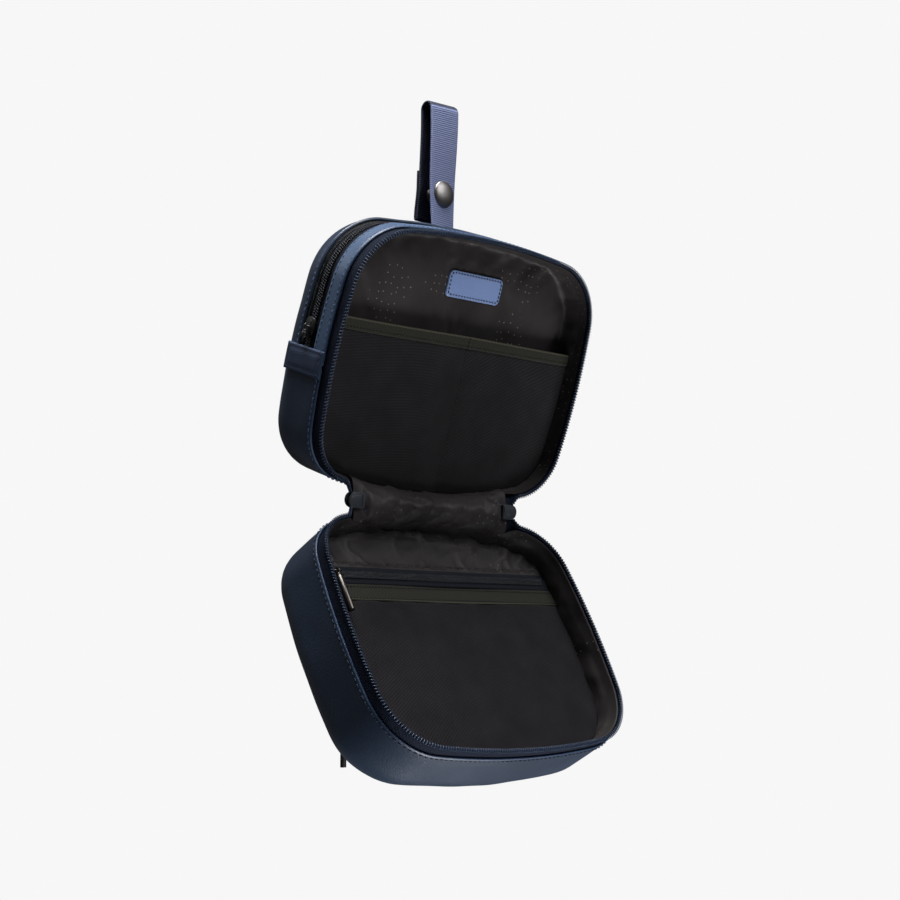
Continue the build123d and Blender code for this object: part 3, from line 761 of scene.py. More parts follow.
def build_shell(name, half, front, crown, seed):
    """Leather of one half."""
    points = shell_points(half, front, crown, seed)
    centre = half.core(20.0)
    piece = sheet(name, points, NAVY, wrap=True, centre=centre, cap=True)
    # The turned front edge gets the paler edge leather: partly burnished, partly a painted
    # highlight.
    paint(piece, points.shape[1] - 1, NAVY_EDGE_BURNISH_AND_HIGHLIGHT, turned_edge)
    return thicken(piece, LEATHER_THICK)


def bake(piece):
    """Applies a piece's modifiers."""
    graph = bpy.context.evaluated_depsgraph_get()
    mesh = bpy.data.meshes.new_from_object(piece.evaluated_get(graph))
    piece.modifiers.clear()
    piece.data = mesh
    return piece


def cut(piece, cutter):
    """Removes a cutter's volume from a piece."""
    made = piece.modifiers.new("cut", "BOOLEAN")
    made.object = cutter
    made.operation = "DIFFERENCE"
    bake(piece)
    bpy.data.objects.remove(cutter)
    return piece


def rounded_rect(length, width, radius, steps=6):
    """Corner points of a rounded rectangle about the origin, anticlockwise."""
    points = []
    for k, (sx, sy) in enumerate(((1, 1), (-1, 1), (-1, -1), (1, -1))):
        centre = np.array([sx * (length / 2 - radius), sy * (width / 2 - radius)])
        for turn in np.linspace(k, k + 1, steps + 1) * math.pi / 2:
            points.append(centre + radius * np.array([math.cos(turn), math.sin(turn)]))
    return np.array(points)


def prism(shape, low, high):
    """Points and faces of a flat shape extruded along z."""
    count = len(shape)
    points = np.concatenate([np.c_[shape, np.full(count, z)] for z in (low, high)])
    faces = [(i, (i + 1) % count, (i + 1) % count + count, i + count) for i in range(count)]
    faces += [tuple(range(count))[::-1], tuple(range(count, 2 * count))]
    return points, faces


def moved(part, origin, x_dir, z_dir):
    """A local part placed at an origin, with its x and z along the given directions."""
    points, faces = part
    x_dir, z_dir = unit(np.asarray(x_dir, float)), unit(np.asarray(z_dir, float))
    y_dir = np.cross(z_dir, x_dir)
    return origin + points @ np.stack([x_dir, y_dir, z_dir]), faces


upper_leather = build_shell("leather_upper", UPPER, upper_front, UPPER_CROWN, 11)
finish_piece(upper_leather, "upper_half", "navy_leather", "upper_shell")

lower_leather = build_shell("leather_lower", LOWER, lower_front, LOWER_CROWN, 23)
slot_at = LOWER.at(0.0, OUTER_ZIP_S, LOWER_DEPTH)
slot_shape = rounded_rect(OUTER_SLOT[0] - 1, OUTER_SLOT[1] - 1, 3.5)
slot_cutter = moved(prism(slot_shape, -8, 8), slot_at, LOWER.x, LOWER.d)
cut(lower_leather, make_object("slot_cutter", *slot_cutter, NAVY))
lower_leather.data.shade_smooth()
finish_piece(lower_leather, "lower_half", "navy_leather", "lower_shell")


def build_foam(name, half, nodes):
    """Foam stiffener between the leather and the lining."""
    u = np.linspace(0, PERIMETER, 200, endpoint=False)
    profile = [(2.1, 14.5), (2.1, 20), (2.1, half.depth - 20)]
    for turn in quarter(8):
        profile.append((2.1 + 18 * (1 - math.cos(turn)), half.depth - 20.2 + 18 * math.sin(turn)))
    points = strip(half, u, profile)
    if half is UPPER:
        flat = outline(u)[0]
        lift = smooth(TAB_S[0], TAB_MID, flat[:, 1])[:, None] * np.array([17, 12] + [0] * 9)
        points = points + half.d * lift[..., None]
    points = with_panel(half, points, half.depth - 2.2, 12)
    piece = sheet(name, points, FOAM, wrap=True, centre=half.core(20.0), cap=True)
    thicken(piece, 1.3)
    return finish_piece(piece, half.body, "foam", *nodes)


build_foam("foam_upper", UPPER, ["upper_foam"])
build_foam("foam_lower", LOWER, ["lower_foam"])


def band_profile(front, back, seat=1.2):
    """Profile of a leather band with both edges turned under."""
    edge = [(seat, front + 0.9), (seat - 0.1, front + 0.3), (0.7, front), (0.25, front + 0.05)]
    middle = [(-0.12, d) for d in np.linspace(front + 0.7, back - 0.7, 8)]
    far = [(0.25, back - 0.05), (0.7, back), (seat - 0.1, back - 0.3), (seat, back - 0.9)]
    return edge + middle + far


def build_front_band():
    """Leather band in front of the arched zip."""
    start, end = arch_range()
    u = spaced(start, end, 1.5)
    points = strip(UPPER, u, band_profile(LEATHER_EDGE, BAND_BACK))
    soft = 0.14 * wobble(points, 30, 5) * np.sin(np.linspace(0, math.pi, points.shape[1]))
    points = points + outward(UPPER, u) * soft[..., None]
    # The band's leather is painted lighter than the walls, as painted light.
    piece = sheet("front_band", points, LIT_BAND_LEATHER, centre=UPPER.core(13.0))
    # The band's turned edges get the paler edge leather: partly burnished, partly a painted
    # highlight.
    paint(piece, points.shape[1] - 1, NAVY_EDGE_BURNISH_AND_HIGHLIGHT, turned_edge)
    thicken(piece, 0.5)
    return finish_piece(piece, "upper_half", "navy_leather", "upper_front_band")


build_front_band()


def build_tab(side, node):
    """Keeper tab: a padded leather tab wrapped across the wall."""
    edge = np.array([0, 0.12, 0.35, 0.7, 1.3, 2.4])
    width = TAB_S[1] - TAB_S[0]
    length = TAB_BACK - LEATHER_EDGE + 0.3
    s_steps = np.concatenate([edge, np.linspace(3.4, width - 3.4, 9), width - edge[::-1]])
    d_steps = np.concatenate([edge, np.linspace(3.6, length - 3.6, 20), length - edge[::-1]])
    s, d = np.meshgrid(s_steps, d_steps, indexing="ij")
    rim = np.minimum(np.minimum(s, width - s), np.minimum(d, length - d))
    rise = 1.25 * np.sqrt(np.clip(1 - np.square(1 - np.clip(rim / 0.9, 0, 1)), 0, 1))
    rise = rise + 0.25 * smooth(1.5, 5, rim) - 0.3 * np.exp(-np.square((rim - 2.1) / 0.5))
    spots = distance_at_s(TAB_S[0] + s_steps, side)
    points = loft(UPPER, spots, -rise, LEATHER_EDGE - 0.1 + d)
    piece = sheet(f"keeper_{node[11:]}", points, TAB_LEATHER, centre=UPPER.at(0.0, 67.0, 23.0))
    rim_row = len(s_steps) - 4
    # The tab's front edge and rim get the paler edge leather: partly burnished, partly a painted
    # highlight.
    paint(piece, points.shape[1] - 1, NAVY_EDGE_BURNISH_AND_HIGHLIGHT, lambda row, column: column < 3 or row >= rim_row)
    return finish_piece(piece, "upper_half", "navy_leather", node)


build_tab(-1, "keeper_tab_left")
build_tab(1, "keeper_tab_right")


def wall_stitches(half, start, end, depth, inset=-0.15):
    """Row of stitches on the wall, following the outline."""
    return wall_path(half, spaced(start, end, 1.0), inset, depth)


def stitch_rows(name, body, slot, rows, material, size=STITCH):
    """Several rows of stitches as one piece."""
    threads = join([stitches(*row, size) for row in rows])
    return finish_piece(make_object(name, *threads, material), body, slot)


over_tab = arch_range(TAB_S[1] + 1)
under_tab = base_range(TAB_S[0] - 1)
stitch_rows("seam_upper", "upper_half", "navy_leather", [
    wall_stitches(UPPER, *over_tab, LEATHER_EDGE + SEAM_IN, 0.0),
    wall_stitches(UPPER, *over_tab, BAND_BACK - 1.7, 0.0),
    wall_stitches(UPPER, *over_tab, SLOT_BACK + SEAM_IN),
    wall_stitches(UPPER, *under_tab, LEATHER_EDGE + SEAM_IN),
], THREAD)
stitch_rows("seam_lower", "lower_half", "navy_leather", [
    wall_stitches(LOWER, 0.0, PERIMETER, LEATHER_EDGE + SEAM_IN),
], DIM_THREAD)


def tab_seam(side):
    """Stitches across a keeper tab, near its front edge."""
    spots = distance_at_s(np.linspace(TAB_S[0] + 1.0, TAB_S[1] - 1.0, 30), side)
    return wall_path(UPPER, spots, -1.1, LEATHER_EDGE + 2.2)


stitch_rows("seam_tabs", "upper_half", "navy_leather", [tab_seam(-1), tab_seam(1)], DIM_THREAD)

# ---- zips -----------------------------------------------------------------------------
def zip_lead(rows=14):
    """Path that leads the zip's edge from the outline into its slider and on behind the strip."""
    start, normal = outline(np.array([distance_at_x(ZIP_END_X)]))
    start = (start - MAIN_ZIP_INSET * normal)[0]
    x = np.linspace(start[0], 50.0, rows + 1)[1:]
    ease = smooth(start[0], 60.0, x)
    return np.stack([x, start[1] + (1.3 - start[1]) * ease], -1)


def build_main_zip(half, node_end, phase):
    """Tape and coil of one side of the main zip, led into both sliders."""
    start, end = zip_range()
    u = spaced(start, end, 1.2)
    point, normal = outline(u)
    lead = zip_lead()
    flat = np.concatenate([lead[::-1], point - MAIN_ZIP_INSET * normal, lead * (-1, 1)])
    base_u = np.array([distance_at_x(x) for x in lead[:, 0]])
    base_point, base_normal = outline(base_u)
    wall = base_point - MAIN_ZIP_INSET * base_normal
    wall = np.concatenate([wall[::-1], point - MAIN_ZIP_INSET * normal, wall * (-1, 1)])
    normals = np.concatenate([base_normal[::-1], normal, base_normal * (-1, 1)])
    depths = np.array([1.3, 2.6, 4.2, 6.0, 7.6, 8.8, 11.0, 13.8])
    toward = smooth(1.3, 8.8, depths)[None, :, None]
    grid = flat[:, None] * (1 - toward) + wall[:, None] * toward
    bow = 0.3 * np.sin(np.clip((depths - 1.3) / 7.5, 0, 1) * math.pi)[None, :]
    ripple = 0.12 * np.sin(u_along(flat) / 3.1)[:, None] * (depths[None, :] < 7.5)
    grid = grid - (bow + ripple)[..., None] * normals[:, None]
    points = half.at(grid[..., 0], grid[..., 1], np.broadcast_to(depths, grid.shape[:2]))
    band = sheet(f"zip_tape_{node_end}", points, NAVY_TAPE, centre=half.core(7.0))
    thicken(band, TAPE_THICK, 0.0)
    finish_piece(band, half.body, "navy_tape", f"main_zip_tape_{node_end}")
    toothed = (np.abs(flat[:, 0]) > MAIN_SLIDER_X - 0.5) | (flat[:, 1] > 20)
    path = half.at(flat[toothed, 0], flat[toothed, 1], 1.05)
    side = half.vec(normals[toothed, 0], normals[toothed, 1], 0)
    up = np.broadcast_to(half.d, side.shape)
    teeth = coil(path, side, up, MAIN_COIL_PITCH, 1.15, 0.62, 0.27, phase)
    teeth = make_object(f"zip_coil_{node_end}", *teeth, NAVY_COIL)
    cord = make_object(f"zip_cord_{node_end}", *tube(resample(path, 2.0)[0], 0.45, 6, half.d),
                       NAVY_TAPE)
    finish_piece(cord, half.body, "navy_tape")
    return finish_piece(teeth, half.body, "navy_coil", f"main_zip_teeth_{node_end}")


def u_along(flat):
    """Running length of a flat path."""
    gaps = np.linalg.norm(np.diff(flat, axis=0), axis=1)
    return np.concatenate([[0], np.cumsum(gaps)])


build_main_zip(UPPER, "upper", 0.0)
build_main_zip(LOWER, "lower", math.pi)


COIL_PITCH = 1.4
COIL_LIFT = 0.45
COIL_REACH = 1.05


def closed_coil(name, path, across, normal, body, node):
    """Two meshed rows of zip coil with the seam between them."""
    across, normal = (np.broadcast_to(v, path.shape) for v in (across, normal))
    parts = [coil(path + across * sign * COIL_REACH + normal * COIL_LIFT, across, normal,
                  COIL_PITCH, COIL_REACH, 0.28, 0.26, phase, steps=10)
             for sign, phase in ((1, 0.0), (-1, math.pi))]
    return finish_piece(make_object(name, *join(parts), BLACK_COIL), body, "black_coil", node)


def build_arch_zip():
    """Arched zip of the rear pocket."""
    start, end = arch_range(TAB_S[0] + 3)
    u = spaced(start, end, 1.5)
    depths = np.array([15.2, 18, 20.5, 22, 24, 26, 27.5, 30, 31.0])
    sink = np.array([1.6, 1.6, 1.7, 1.55, 1.3, 1.55, 1.7, 1.6, 1.6])
    points = strip(UPPER, u, np.stack([sink, depths], -1))
    band = sheet("rear_zip_tape", points, BLACK_TAPE, centre=UPPER.core(23.0))
    thicken(band, TAPE_THICK)
    finish_piece(band, "upper_half", "black_tape", "arch_zip_tape")
    start, end = arch_range(TAB_MID)
    path, normal = wall_path(UPPER, spaced(start, end, 1.5), 1.25, ARCH_ZIP_DEPTH)
    closed_coil("rear_zip_coil", path, UPPER.d, normal, "upper_half", "arch_zip_coil")


build_arch_zip()


def build_outer_zip():
    """Pocket zip on the lower outer panel, with a welt round its slot."""
    x = np.linspace(-OUTER_SLOT[0] / 2 - 2, OUTER_SLOT[0] / 2 + 2, 60)
    s = OUTER_ZIP_S + np.array([-7, -4.5, -2.5, -1, 0, 1, 2.5, 4.5, 7])
    grid_x, grid_s = np.meshgrid(x, s, indexing="ij")
    cloth = sheet("outer_zip_tape_cloth", on_panel(grid_x, grid_s, -1.3), BLACK_TAPE,
                  facing=LOWER.d)
    thicken(cloth, TAPE_THICK)
    finish_piece(cloth, "lower_half", "black_tape", "outer_zip_tape")
    x = spaced(-OUTER_SLOT[0] / 2 + 2, OUTER_SLOT[0] / 2 - 2, 1.5)
    path = on_panel(x, OUTER_ZIP_S, -1.65)
    closed_coil("outer_zip_coil_rows", path, LOWER.s, LOWER.d, "lower_half", "outer_zip_coil")
    loop = rounded_rect(OUTER_SLOT[0] - 0.4, OUTER_SLOT[1] - 0.4, 3.6, 8)
    path = on_panel(loop[:, 0], OUTER_ZIP_S + loop[:, 1], -0.35)
    keep = np.linalg.norm(np.roll(path, -1, 0) - path, axis=1) > 0.01
    welt = tube(path[keep], 0.65, 8, LOWER.d, closed=True)
    # The welt uses the paler edge leather: partly burnished, partly a painted highlight.
    welt = make_object("outer_zip_welt", *welt, NAVY_EDGE_BURNISH_AND_HIGHLIGHT)
    finish_piece(welt, "lower_half", "navy_leather")
    loop = closed(rounded_rect(OUTER_SLOT[0] + 4.5, OUTER_SLOT[1] + 4.5, 5.5, 8))
    path = on_panel(loop[:, 0], OUTER_ZIP_S + loop[:, 1], -0.05)
    stitch_rows("seam_outer_pocket", "lower_half", "navy_leather", [(path, LOWER.d)], THREAD)


def panel_rise(x, s):
    """How far the crowned lower panel stands out at a place."""
    point, normal = outline(np.linspace(0, PERIMETER, 181))
    rim = point - REAR_ROUND * normal - np.array([0.0, HEIGHT / 2])
    angle = np.arctan2(rim[:, 1], rim[:, 0])
    order = np.argsort(angle)
    x, s = np.broadcast_arrays(np.asarray(x, float), np.asarray(s, float))
    here = np.arctan2(s - HEIGHT / 2, x)
    reach = np.interp(here, angle[order], np.hypot(rim[:, 0], rim[:, 1])[order], period=2 * math.pi)
    share = np.hypot(x, s - HEIGHT / 2) / reach
    return LOWER_CROWN * np.clip(1 - share**2, 0, 1)


def on_panel(x, s, lift):
    """Point above the lower outer panel."""
    return LOWER.at(x, s, LOWER_DEPTH + lift + panel_rise(x, s))


build_outer_zip()


def build_inner_zip():
    """Inner zip of the lower half: ribbed tape and coil."""
    s_steps = np.array([INNER_TAPE_S[0], 32.4, 34, 35.2, 36.5, 37.8, 39, 40.6, INNER_TAPE_S[1]])
    lift = np.array([0, 0.1, 0.2, 0.5, 0.7, 0.5, 0.2, 0.1, 0])
    rows = 110
    share = np.linspace(-1, 1, rows)
    s = np.broadcast_to(s_steps, (rows, len(s_steps)))
    x = share[:, None] * (half_width(s, 0.0) - 4.6)
    d = LOWER_PANEL_D + 0.3 - lift[None, :] * 0.6 + inner_wave(x, s)
    band = sheet("inner_zip_tape_cloth", LOWER.at(x, s, d), BLACK_TAPE, facing=-LOWER.d)
    thicken(band, 0.4)
    finish_piece(band, "lower_half", "black_tape", "inner_zip_tape")
    x = spaced(-84, 84, 1.5)
    path = LOWER.at(x, INNER_ZIP_S, LOWER_PANEL_D - 0.1 + inner_wave(x, INNER_ZIP_S))
    closed_coil("inner_zip_coil_rows", path, LOWER.s, -LOWER.d, "lower_half", "inner_zip_coil")


def inner_wave(x, s):
    """Slight slack of the lower partition, shared by everything sewn to it."""
    return 0.35 * np.sin(np.asarray(x) / 23.0 + 0.8) * np.cos(np.asarray(s) / 30.0)


build_inner_zip()

# ---- cloth ----------------------------------------------------------------------------
CLOTH_SETTINGS = {
    "quality": 6, "mass": 0.15, "tension_stiffness": 12, "compression_stiffness": 12,
    "shear_stiffness": 4, "bending_stiffness": 0.25, "tension_damping": 8,
    "compression_damping": 8, "air_damping": 3, "vertex_group_mass": "pinned",
}
CLOTH_SCALE = 0.02      # metres of simulated cloth for a millimetre of the bag


def settle(points, pinned, growth, frames):
    """Cloth simulation of a grid of points that grew too big for its pinned edges."""
    rows, columns = points.shape[:2]
    base = points.reshape(-1, 3)
    middle = base.mean(0)
    mesh = bpy.data.meshes.new("settling")
    mesh.from_pydata(((base - middle) * CLOTH_SCALE).tolist(), [], grid_faces(rows, columns))
    piece = linked("settling", mesh)
    group = piece.vertex_groups.new(name="pinned")
    for index in np.flatnonzero(pinned.ravel() > 0):
        group.add([int(index)], float(pinned.ravel()[index]), "REPLACE")
    cloth = piece.modifiers.new("cloth", "CLOTH")
    for key, value in {**CLOTH_SETTINGS, "shrink_min": -growth}.items():
        setattr(cloth.settings, key, value)
    cloth.settings.effector_weights.gravity = 0.15
    cloth.collision_settings.use_collision = False
    cloth.point_cache.frame_start = 1
    cloth.point_cache.frame_end = frames
    scene = bpy.context.scene
    for frame_number in range(1, frames + 1):
        scene.frame_set(frame_number)
    graph = bpy.context.evaluated_depsgraph_get()
    result = piece.evaluated_get(graph).to_mesh()
    found = np.zeros(len(base) * 3)
    result.vertices.foreach_get("co", found)
    piece.evaluated_get(graph).to_mesh_clear()
    bpy.data.objects.remove(piece)
    scene.frame_set(1)
    return (found.reshape(-1, 3) / CLOTH_SCALE + middle).reshape(points.shape)


def slack(points, rest_seed, normal, pinned, growth=0.03, frames=30, limit=1.6):
    """Wrinkled cloth near a rest surface, with its wrinkles kept within a limit."""
    nudge = 0.25 * wobble(points, 26, rest_seed) + 0.12 * wobble(points, 9, rest_seed + 1)
    nudge = nudge * (1 - pinned)
    start = points + normal * nudge[..., None]
    found = settle(start, pinned, growth, frames)
    change = found - points
    along = (change * normal).sum(-1)
    flat = change - along[..., None] * normal
    along = limit * np.tanh(along / limit)
    return points + flat * 0.7 + normal * along[..., None]


LINING_EDGE = [(3.0, 2.7), (3.05, 4.0), (3.1, 6.0), (3.2, 8.0), (3.4, 9.2), (3.8, 10.5)]


def lining_wall(half, u, profile):
    """Lining along the wall; its front edge sits further back at the hinge."""
    point = outline(u)[0]
    at_hinge = smooth(66, 57, np.abs(point[:, 0])) * (point[:, 1] < 30)
    insets, depths = np.array(profile).T
    lowest = 8.6 + 0.12 * np.arange(len(depths))
    depths = depths + at_hinge[:, None] * np.maximum(0, lowest - depths)
    return loft(half, u, np.broadcast_to(insets, depths.shape), depths)


def lay_tray(half, back_d, rows=200, rings=40):
    """Tray lining at rest: a wall that turns into a panel, with inward normals and pins."""
    u = np.linspace(0, PERIMETER, rows, endpoint=False)
    profile = LINING_EDGE + [(4.0, 12.5), (4.0, back_d - 3)]
    for turn in quarter(5, 1):
        profile.append((4.0 + 3 * (1 - math.cos(turn)), back_d - 3 + 3 * math.sin(turn)))
    points = lining_wall(half, u, profile)
    first = len(profile)
    points = with_panel(half, points, back_d, rings, last=0.015)
    turned = smooth(first - 6, first - 1, np.arange(points.shape[1]))[None, :, None]
    normal = unit(-outward(half, u) * (1 - turned) - half.d * turned)
    pinned = np.zeros(points.shape[:2])
    pinned[:, :5] = 1
    pinned[:, 5:first - 3] = 0.5
    return u, points, normal, pinned


def build_upper_tray():
    """Upper tray's lining: gathered at its corners and loose across the back."""
    u, points, normal, pinned = lay_tray(UPPER, UPPER_FLOOR)
    local = points - HINGE
    x, s = local @ UPPER.x, local @ UPPER.s
    aside, above = np.abs(x - LABEL_AT[0]) - LABEL[0] / 2, np.abs(s - LABEL_AT[1]) - LABEL[1] / 2
    under_label = 1 - smooth(-1, 7, np.maximum(aside, above))
    pinned = np.maximum(pinned, under_label)
    gathers = np.sin(u * 2 * math.pi / 15 + 2.4 * np.sin(u / 29))[:, None]
    column = np.arange(points.shape[1])[None, :]
    reach = np.exp(-np.square((column - 12) / 6.5)) * (0.3 + 0.7 * smooth(100, 150, s))
    laid = points + normal * (0.3 * gathers * reach * (1 - under_label))[..., None]
    found = slack(laid, 31, normal, pinned, growth=0.035, limit=1.5)
    unfold = UPPER_FLOOR - (points - HINGE) @ UPPER.d
    uv = np.stack([x, s], -1) + unfold[..., None] * outline(u)[1][:, None]
    piece = sheet("upper_tray_cloth", found, LINING, wrap=True, uv=closed(uv), facing=-UPPER.d,
                  cap=True)
    return finish_piece(piece, "upper_half", "lining", "upper_tray_lining")


build_upper_tray()


def build_layer(name, half, inset, profile_front, back_d, material, slot, nodes, thick):
    """Hidden or half-hidden layer that follows a half's case."""
    u = np.linspace(0, PERIMETER, 300, endpoint=False)
    corner = REAR_ROUND - inset
    rows = list(profile_front)
    for turn in quarter(8):
        rows.append((inset + corner * (1 - math.cos(turn)), back_d - corner * (1 - math.sin(turn))))
    points = lining_wall(half, u, rows)
    points = with_panel(half, points, back_d, 14)
    points = points + 0.25 * half.d * wobble(points, 40, 61)[..., None]
    depth = (points - HINGE) @ half.d
    puckers = 0.55 + 0.55 * wobble(points, 13, 62) + 0.3 * wobble(points, 6, 63)
    puckers = np.clip(puckers, 0, 1.4) * smooth(4, 10, depth) * smooth(30, 20, depth)
    points = points - outward(half, u) * puckers[..., None]
    piece = sheet(name, points, material, wrap=True, cap=True,
                  centre=half.core(back_d / 2))
    thicken(piece, thick, 0.0)
    return finish_piece(piece, half.body, slot, *nodes)


build_layer("rear_pocket_cloth", UPPER, 4.0, [(9.0, 21.2), (5.0, 22.5), (4.2, 26.0)], 45.8,
            LINING, "lining", ["rear_pocket_lining"], 0.4)
build_layer("lower_cloth", LOWER, 4.0,
            LINING_EDGE + [(4.0, 12), (4.0, 14), (4.0, 16), (4.0, 18.5), (4.0, 22.0)], 46.6,
            LINING, "lining", ["lower_lining"], 0.4)


def pillow(name, centre, x_dir, y_dir, out, size, radius, thick, material, body, slot, nodes):
    """Flat padded patch with rounded corners; its underside is left open."""
    rings = [0, 0.1, 0.35, 0.8, 1.5, 2.3]
    shape = rounded_rect(size[0], size[1], radius, 8)
    reach = np.hypot(shape[:, 0], shape[:, 1])
    columns = []
    for depth in rings:
        shrink = (reach - depth) / reach
        columns.append((shape * shrink[:, None], depth))
    for share in np.linspace(0.9, 0.02, 12):
        columns.append((shape * (share * (reach - 2.3) / reach)[:, None], 5.0))
    points = []
    for flat, depth in columns:
        rise = thick * math.sqrt(max(0.0, 1 - (1 - min(depth / 0.8, 1)) ** 2))
        dip = 0.18 * math.exp(-(((depth - 1.5) / 0.5) ** 2))
        points.append(centre + flat[:, :1] * x_dir + flat[:, 1:] * y_dir + (rise - dip) * out)
    grid = np.stack(points, 1)
    piece = sheet(name, grid, material, wrap=True, facing=out, cap=True)
    return finish_piece(piece, body, slot, *nodes)


pillow("pocket_pouch", LOWER.at(0.0, 75.0, 49.0), LOWER.x, LOWER.s, -LOWER.d, (134, 92), 8, 0.9,
       LINING, "lower_half", "lining", ["outer_pouch"])
LABEL_BACK = UPPER.at(*LABEL_AT, UPPER_FLOOR - 0.05)
pillow("label", LABEL_BACK, UPPER.x, UPPER.s, -UPPER.d, LABEL, 3.0, 1.1, BLUE,
       "upper_half", "blue_leather", ["label_patch"])
label_loop = closed(rounded_rect(LABEL[0] - 2.8, LABEL[1] - 2.8, 2.0, 6))
label_path = LABEL_BACK + label_loop[:, :1] * UPPER.x + label_loop[:, 1:] * UPPER.s - 0.98 * UPPER.d
stitch_rows("seam_label", "upper_half", "blue_leather",
            [(label_path, -UPPER.d)], LABEL_THREAD, (1.4, 2.2, 0.4))


def panel_grid(s_rows, inset, columns):
    """x and s of a grid across a half that fills the outline at each height."""
    share = np.linspace(-1, 1, columns)
    s = np.broadcast_to(s_rows, (columns, len(s_rows)))
    return share[:, None] * half_width(s, inset), s


def mesh_front(x, s):
    """Depth of the upper slip pocket: slightly full, with a slack mouth."""
    full = 1.5 * np.cos(np.clip(x / 96, -1, 1) * math.pi / 2) * np.sin(np.clip(s / 95, 0, 1) * 3.1)
    mouth = smooth(60, 95, s) * (0.5 * np.sin(x / 17 + 0.6) + 0.3 * np.sin(x / 8.3))
    tuck = 0.55 * np.exp(-np.square((x - DIVIDER_X) / 2.6)) * smooth(96, 80, s)
    return UPPER_MESH_D - full * 0.8 + mouth * 0.6 + tuck


DIVIDER_X = 8.0


def build_upper_mesh():
    """Slip pocket of the upper tray."""
    rows = np.concatenate([5.3 + 10 * np.linspace(0, 1, 12) ** 1.5, np.linspace(17, 88.4, 40)])
    x, s = panel_grid(rows, CLOTH_INSET, 110)
    points = UPPER.at(x, s, mesh_front(x, s))
    piece = sheet("upper_pocket_mesh", points, MESH, facing=-UPPER.d)
    thicken(piece, MESH_THICK)
    finish_piece(piece, "upper_half", "mesh", "upper_mesh")
    s = np.linspace(13, 94, 60)
    path = UPPER.at(DIVIDER_X, s, mesh_front(DIVIDER_X, s) - 0.05 - 0.5 * smooth(88, 89, s))
    return path, -UPPER.d


def band(name, half, s_range, front, slump, body_depth, nodes, pale_columns):
    """Folded woven band across a half: rounded edges, slight sag and its own thickness."""
    low, high = s_range
    ring = [(low, 0.15), (low + 0.25, -0.1), (low + 0.9, -0.28), (high - 1.0, -0.34),
            (high - 0.35, -0.28), (high, 0.05), (high + 0.02, 0.45), (high - 0.3, 0.85),
            (low + 0.6, 0.8), (low, 0.6)]
    s0 = np.array([s for s, _ in ring])
    off = np.array([d for _, d in ring])
    share = np.linspace(-1, 1, 130)
    s = np.broadcast_to(s0, (130, len(ring)))
    x = share[:, None] * half_width(s, CLOTH_INSET)
    sag = slump * np.sin(x / 21 + 1.0)
    depth = front(x, s) + off[None, :]
    points = half.at(x, s + sag * 0.25, depth)
    points = np.concatenate([points, points[:, :1]], 1)
    length = u_along(np.stack([x[:, 0], s[:, 0]], -1))
    uv = np.stack(np.broadcast_arrays(length[:, None], closed(s0)[None, :]), -1)
    piece = sheet(name, points, BINDING, uv=uv, centre=half.at(0.0, (low + high) / 2, body_depth))
    paint(piece, points.shape[1] - 1, BINDING_EDGE, lambda row, column: column in pale_columns)
    return finish_piece(piece, half.body, "binding", *nodes)


def band_seam(half, front, s):
    """Path of a stitch row along a band, with the way that it faces."""
    reach = float(half_width(np.array(s), CLOTH_INSET + 0.3))
    x = spaced(-reach, reach, 1.5)
    return half.at(x, s, front(x, s) - 0.36), -half.d


BINDING_EDGE = ribbed("binding_edge", (0.025, 0.025, 0.017), (0.065, 0.062, 0.043), 1.1)
divider = build_upper_mesh()
band("upper_binding", UPPER, BINDING_S, mesh_front, 0.8, UPPER_MESH_D + 0.3,
     ["upper_mesh_binding"], {3, 4})
stitch_rows("seam_binding", "upper_half", "binding",
            [band_seam(UPPER, mesh_front, BINDING_S[0] + 1.5), divider],
            DARK_THREAD, (1.4, 2.2, 0.3))


def lower_front_d(x, s):
    """Depth of the lower partition: shared slack, fuller over the mesh."""
    inside = np.clip((s - 50) / 95, 0, 1)
    full = 1.6 * np.cos(np.clip(x / 96, -1, 1) * math.pi / 2) * np.sin(inside * math.pi)
    return LOWER_PANEL_D + 0.3 - full + inner_wave(x, s)


def build_lower_mesh():
    """Mesh of the zipped partition."""
    rows = np.concatenate([np.linspace(51.6, 133, 44), 133 + 14 * np.linspace(0, 1, 16)[1:] ** 0.7])
    x, s = panel_grid(rows, CLOTH_INSET, 110)
    puckers = 0.25 * np.sin(x / 4.1) * smooth(62, 52, s) + 0.12 * wobble(
        np.stack([x, s, 0 * x], -1), 22, 77)
    points = LOWER.at(x, s, lower_front_d(x, s) + puckers)
    piece = sheet("lower_pocket_mesh", points, MESH, facing=-LOWER.d)
    thicken(piece, MESH_THICK)
    finish_piece(piece, "lower_half", "mesh", "lower_mesh")


build_lower_mesh()
band("inner_band", LOWER, BAND_S, lower_front_d, 1.4, LOWER_PANEL_D + 0.3, ["mesh_band"], {3})
stitch_rows("seam_band", "lower_half", "binding",
            [band_seam(LOWER, lower_front_d, BAND_S[0] + 1.6),
             band_seam(LOWER, lower_front_d, BAND_S[1] - 1.6)],
            DARK_THREAD, (1.3, 2.2, 0.34))


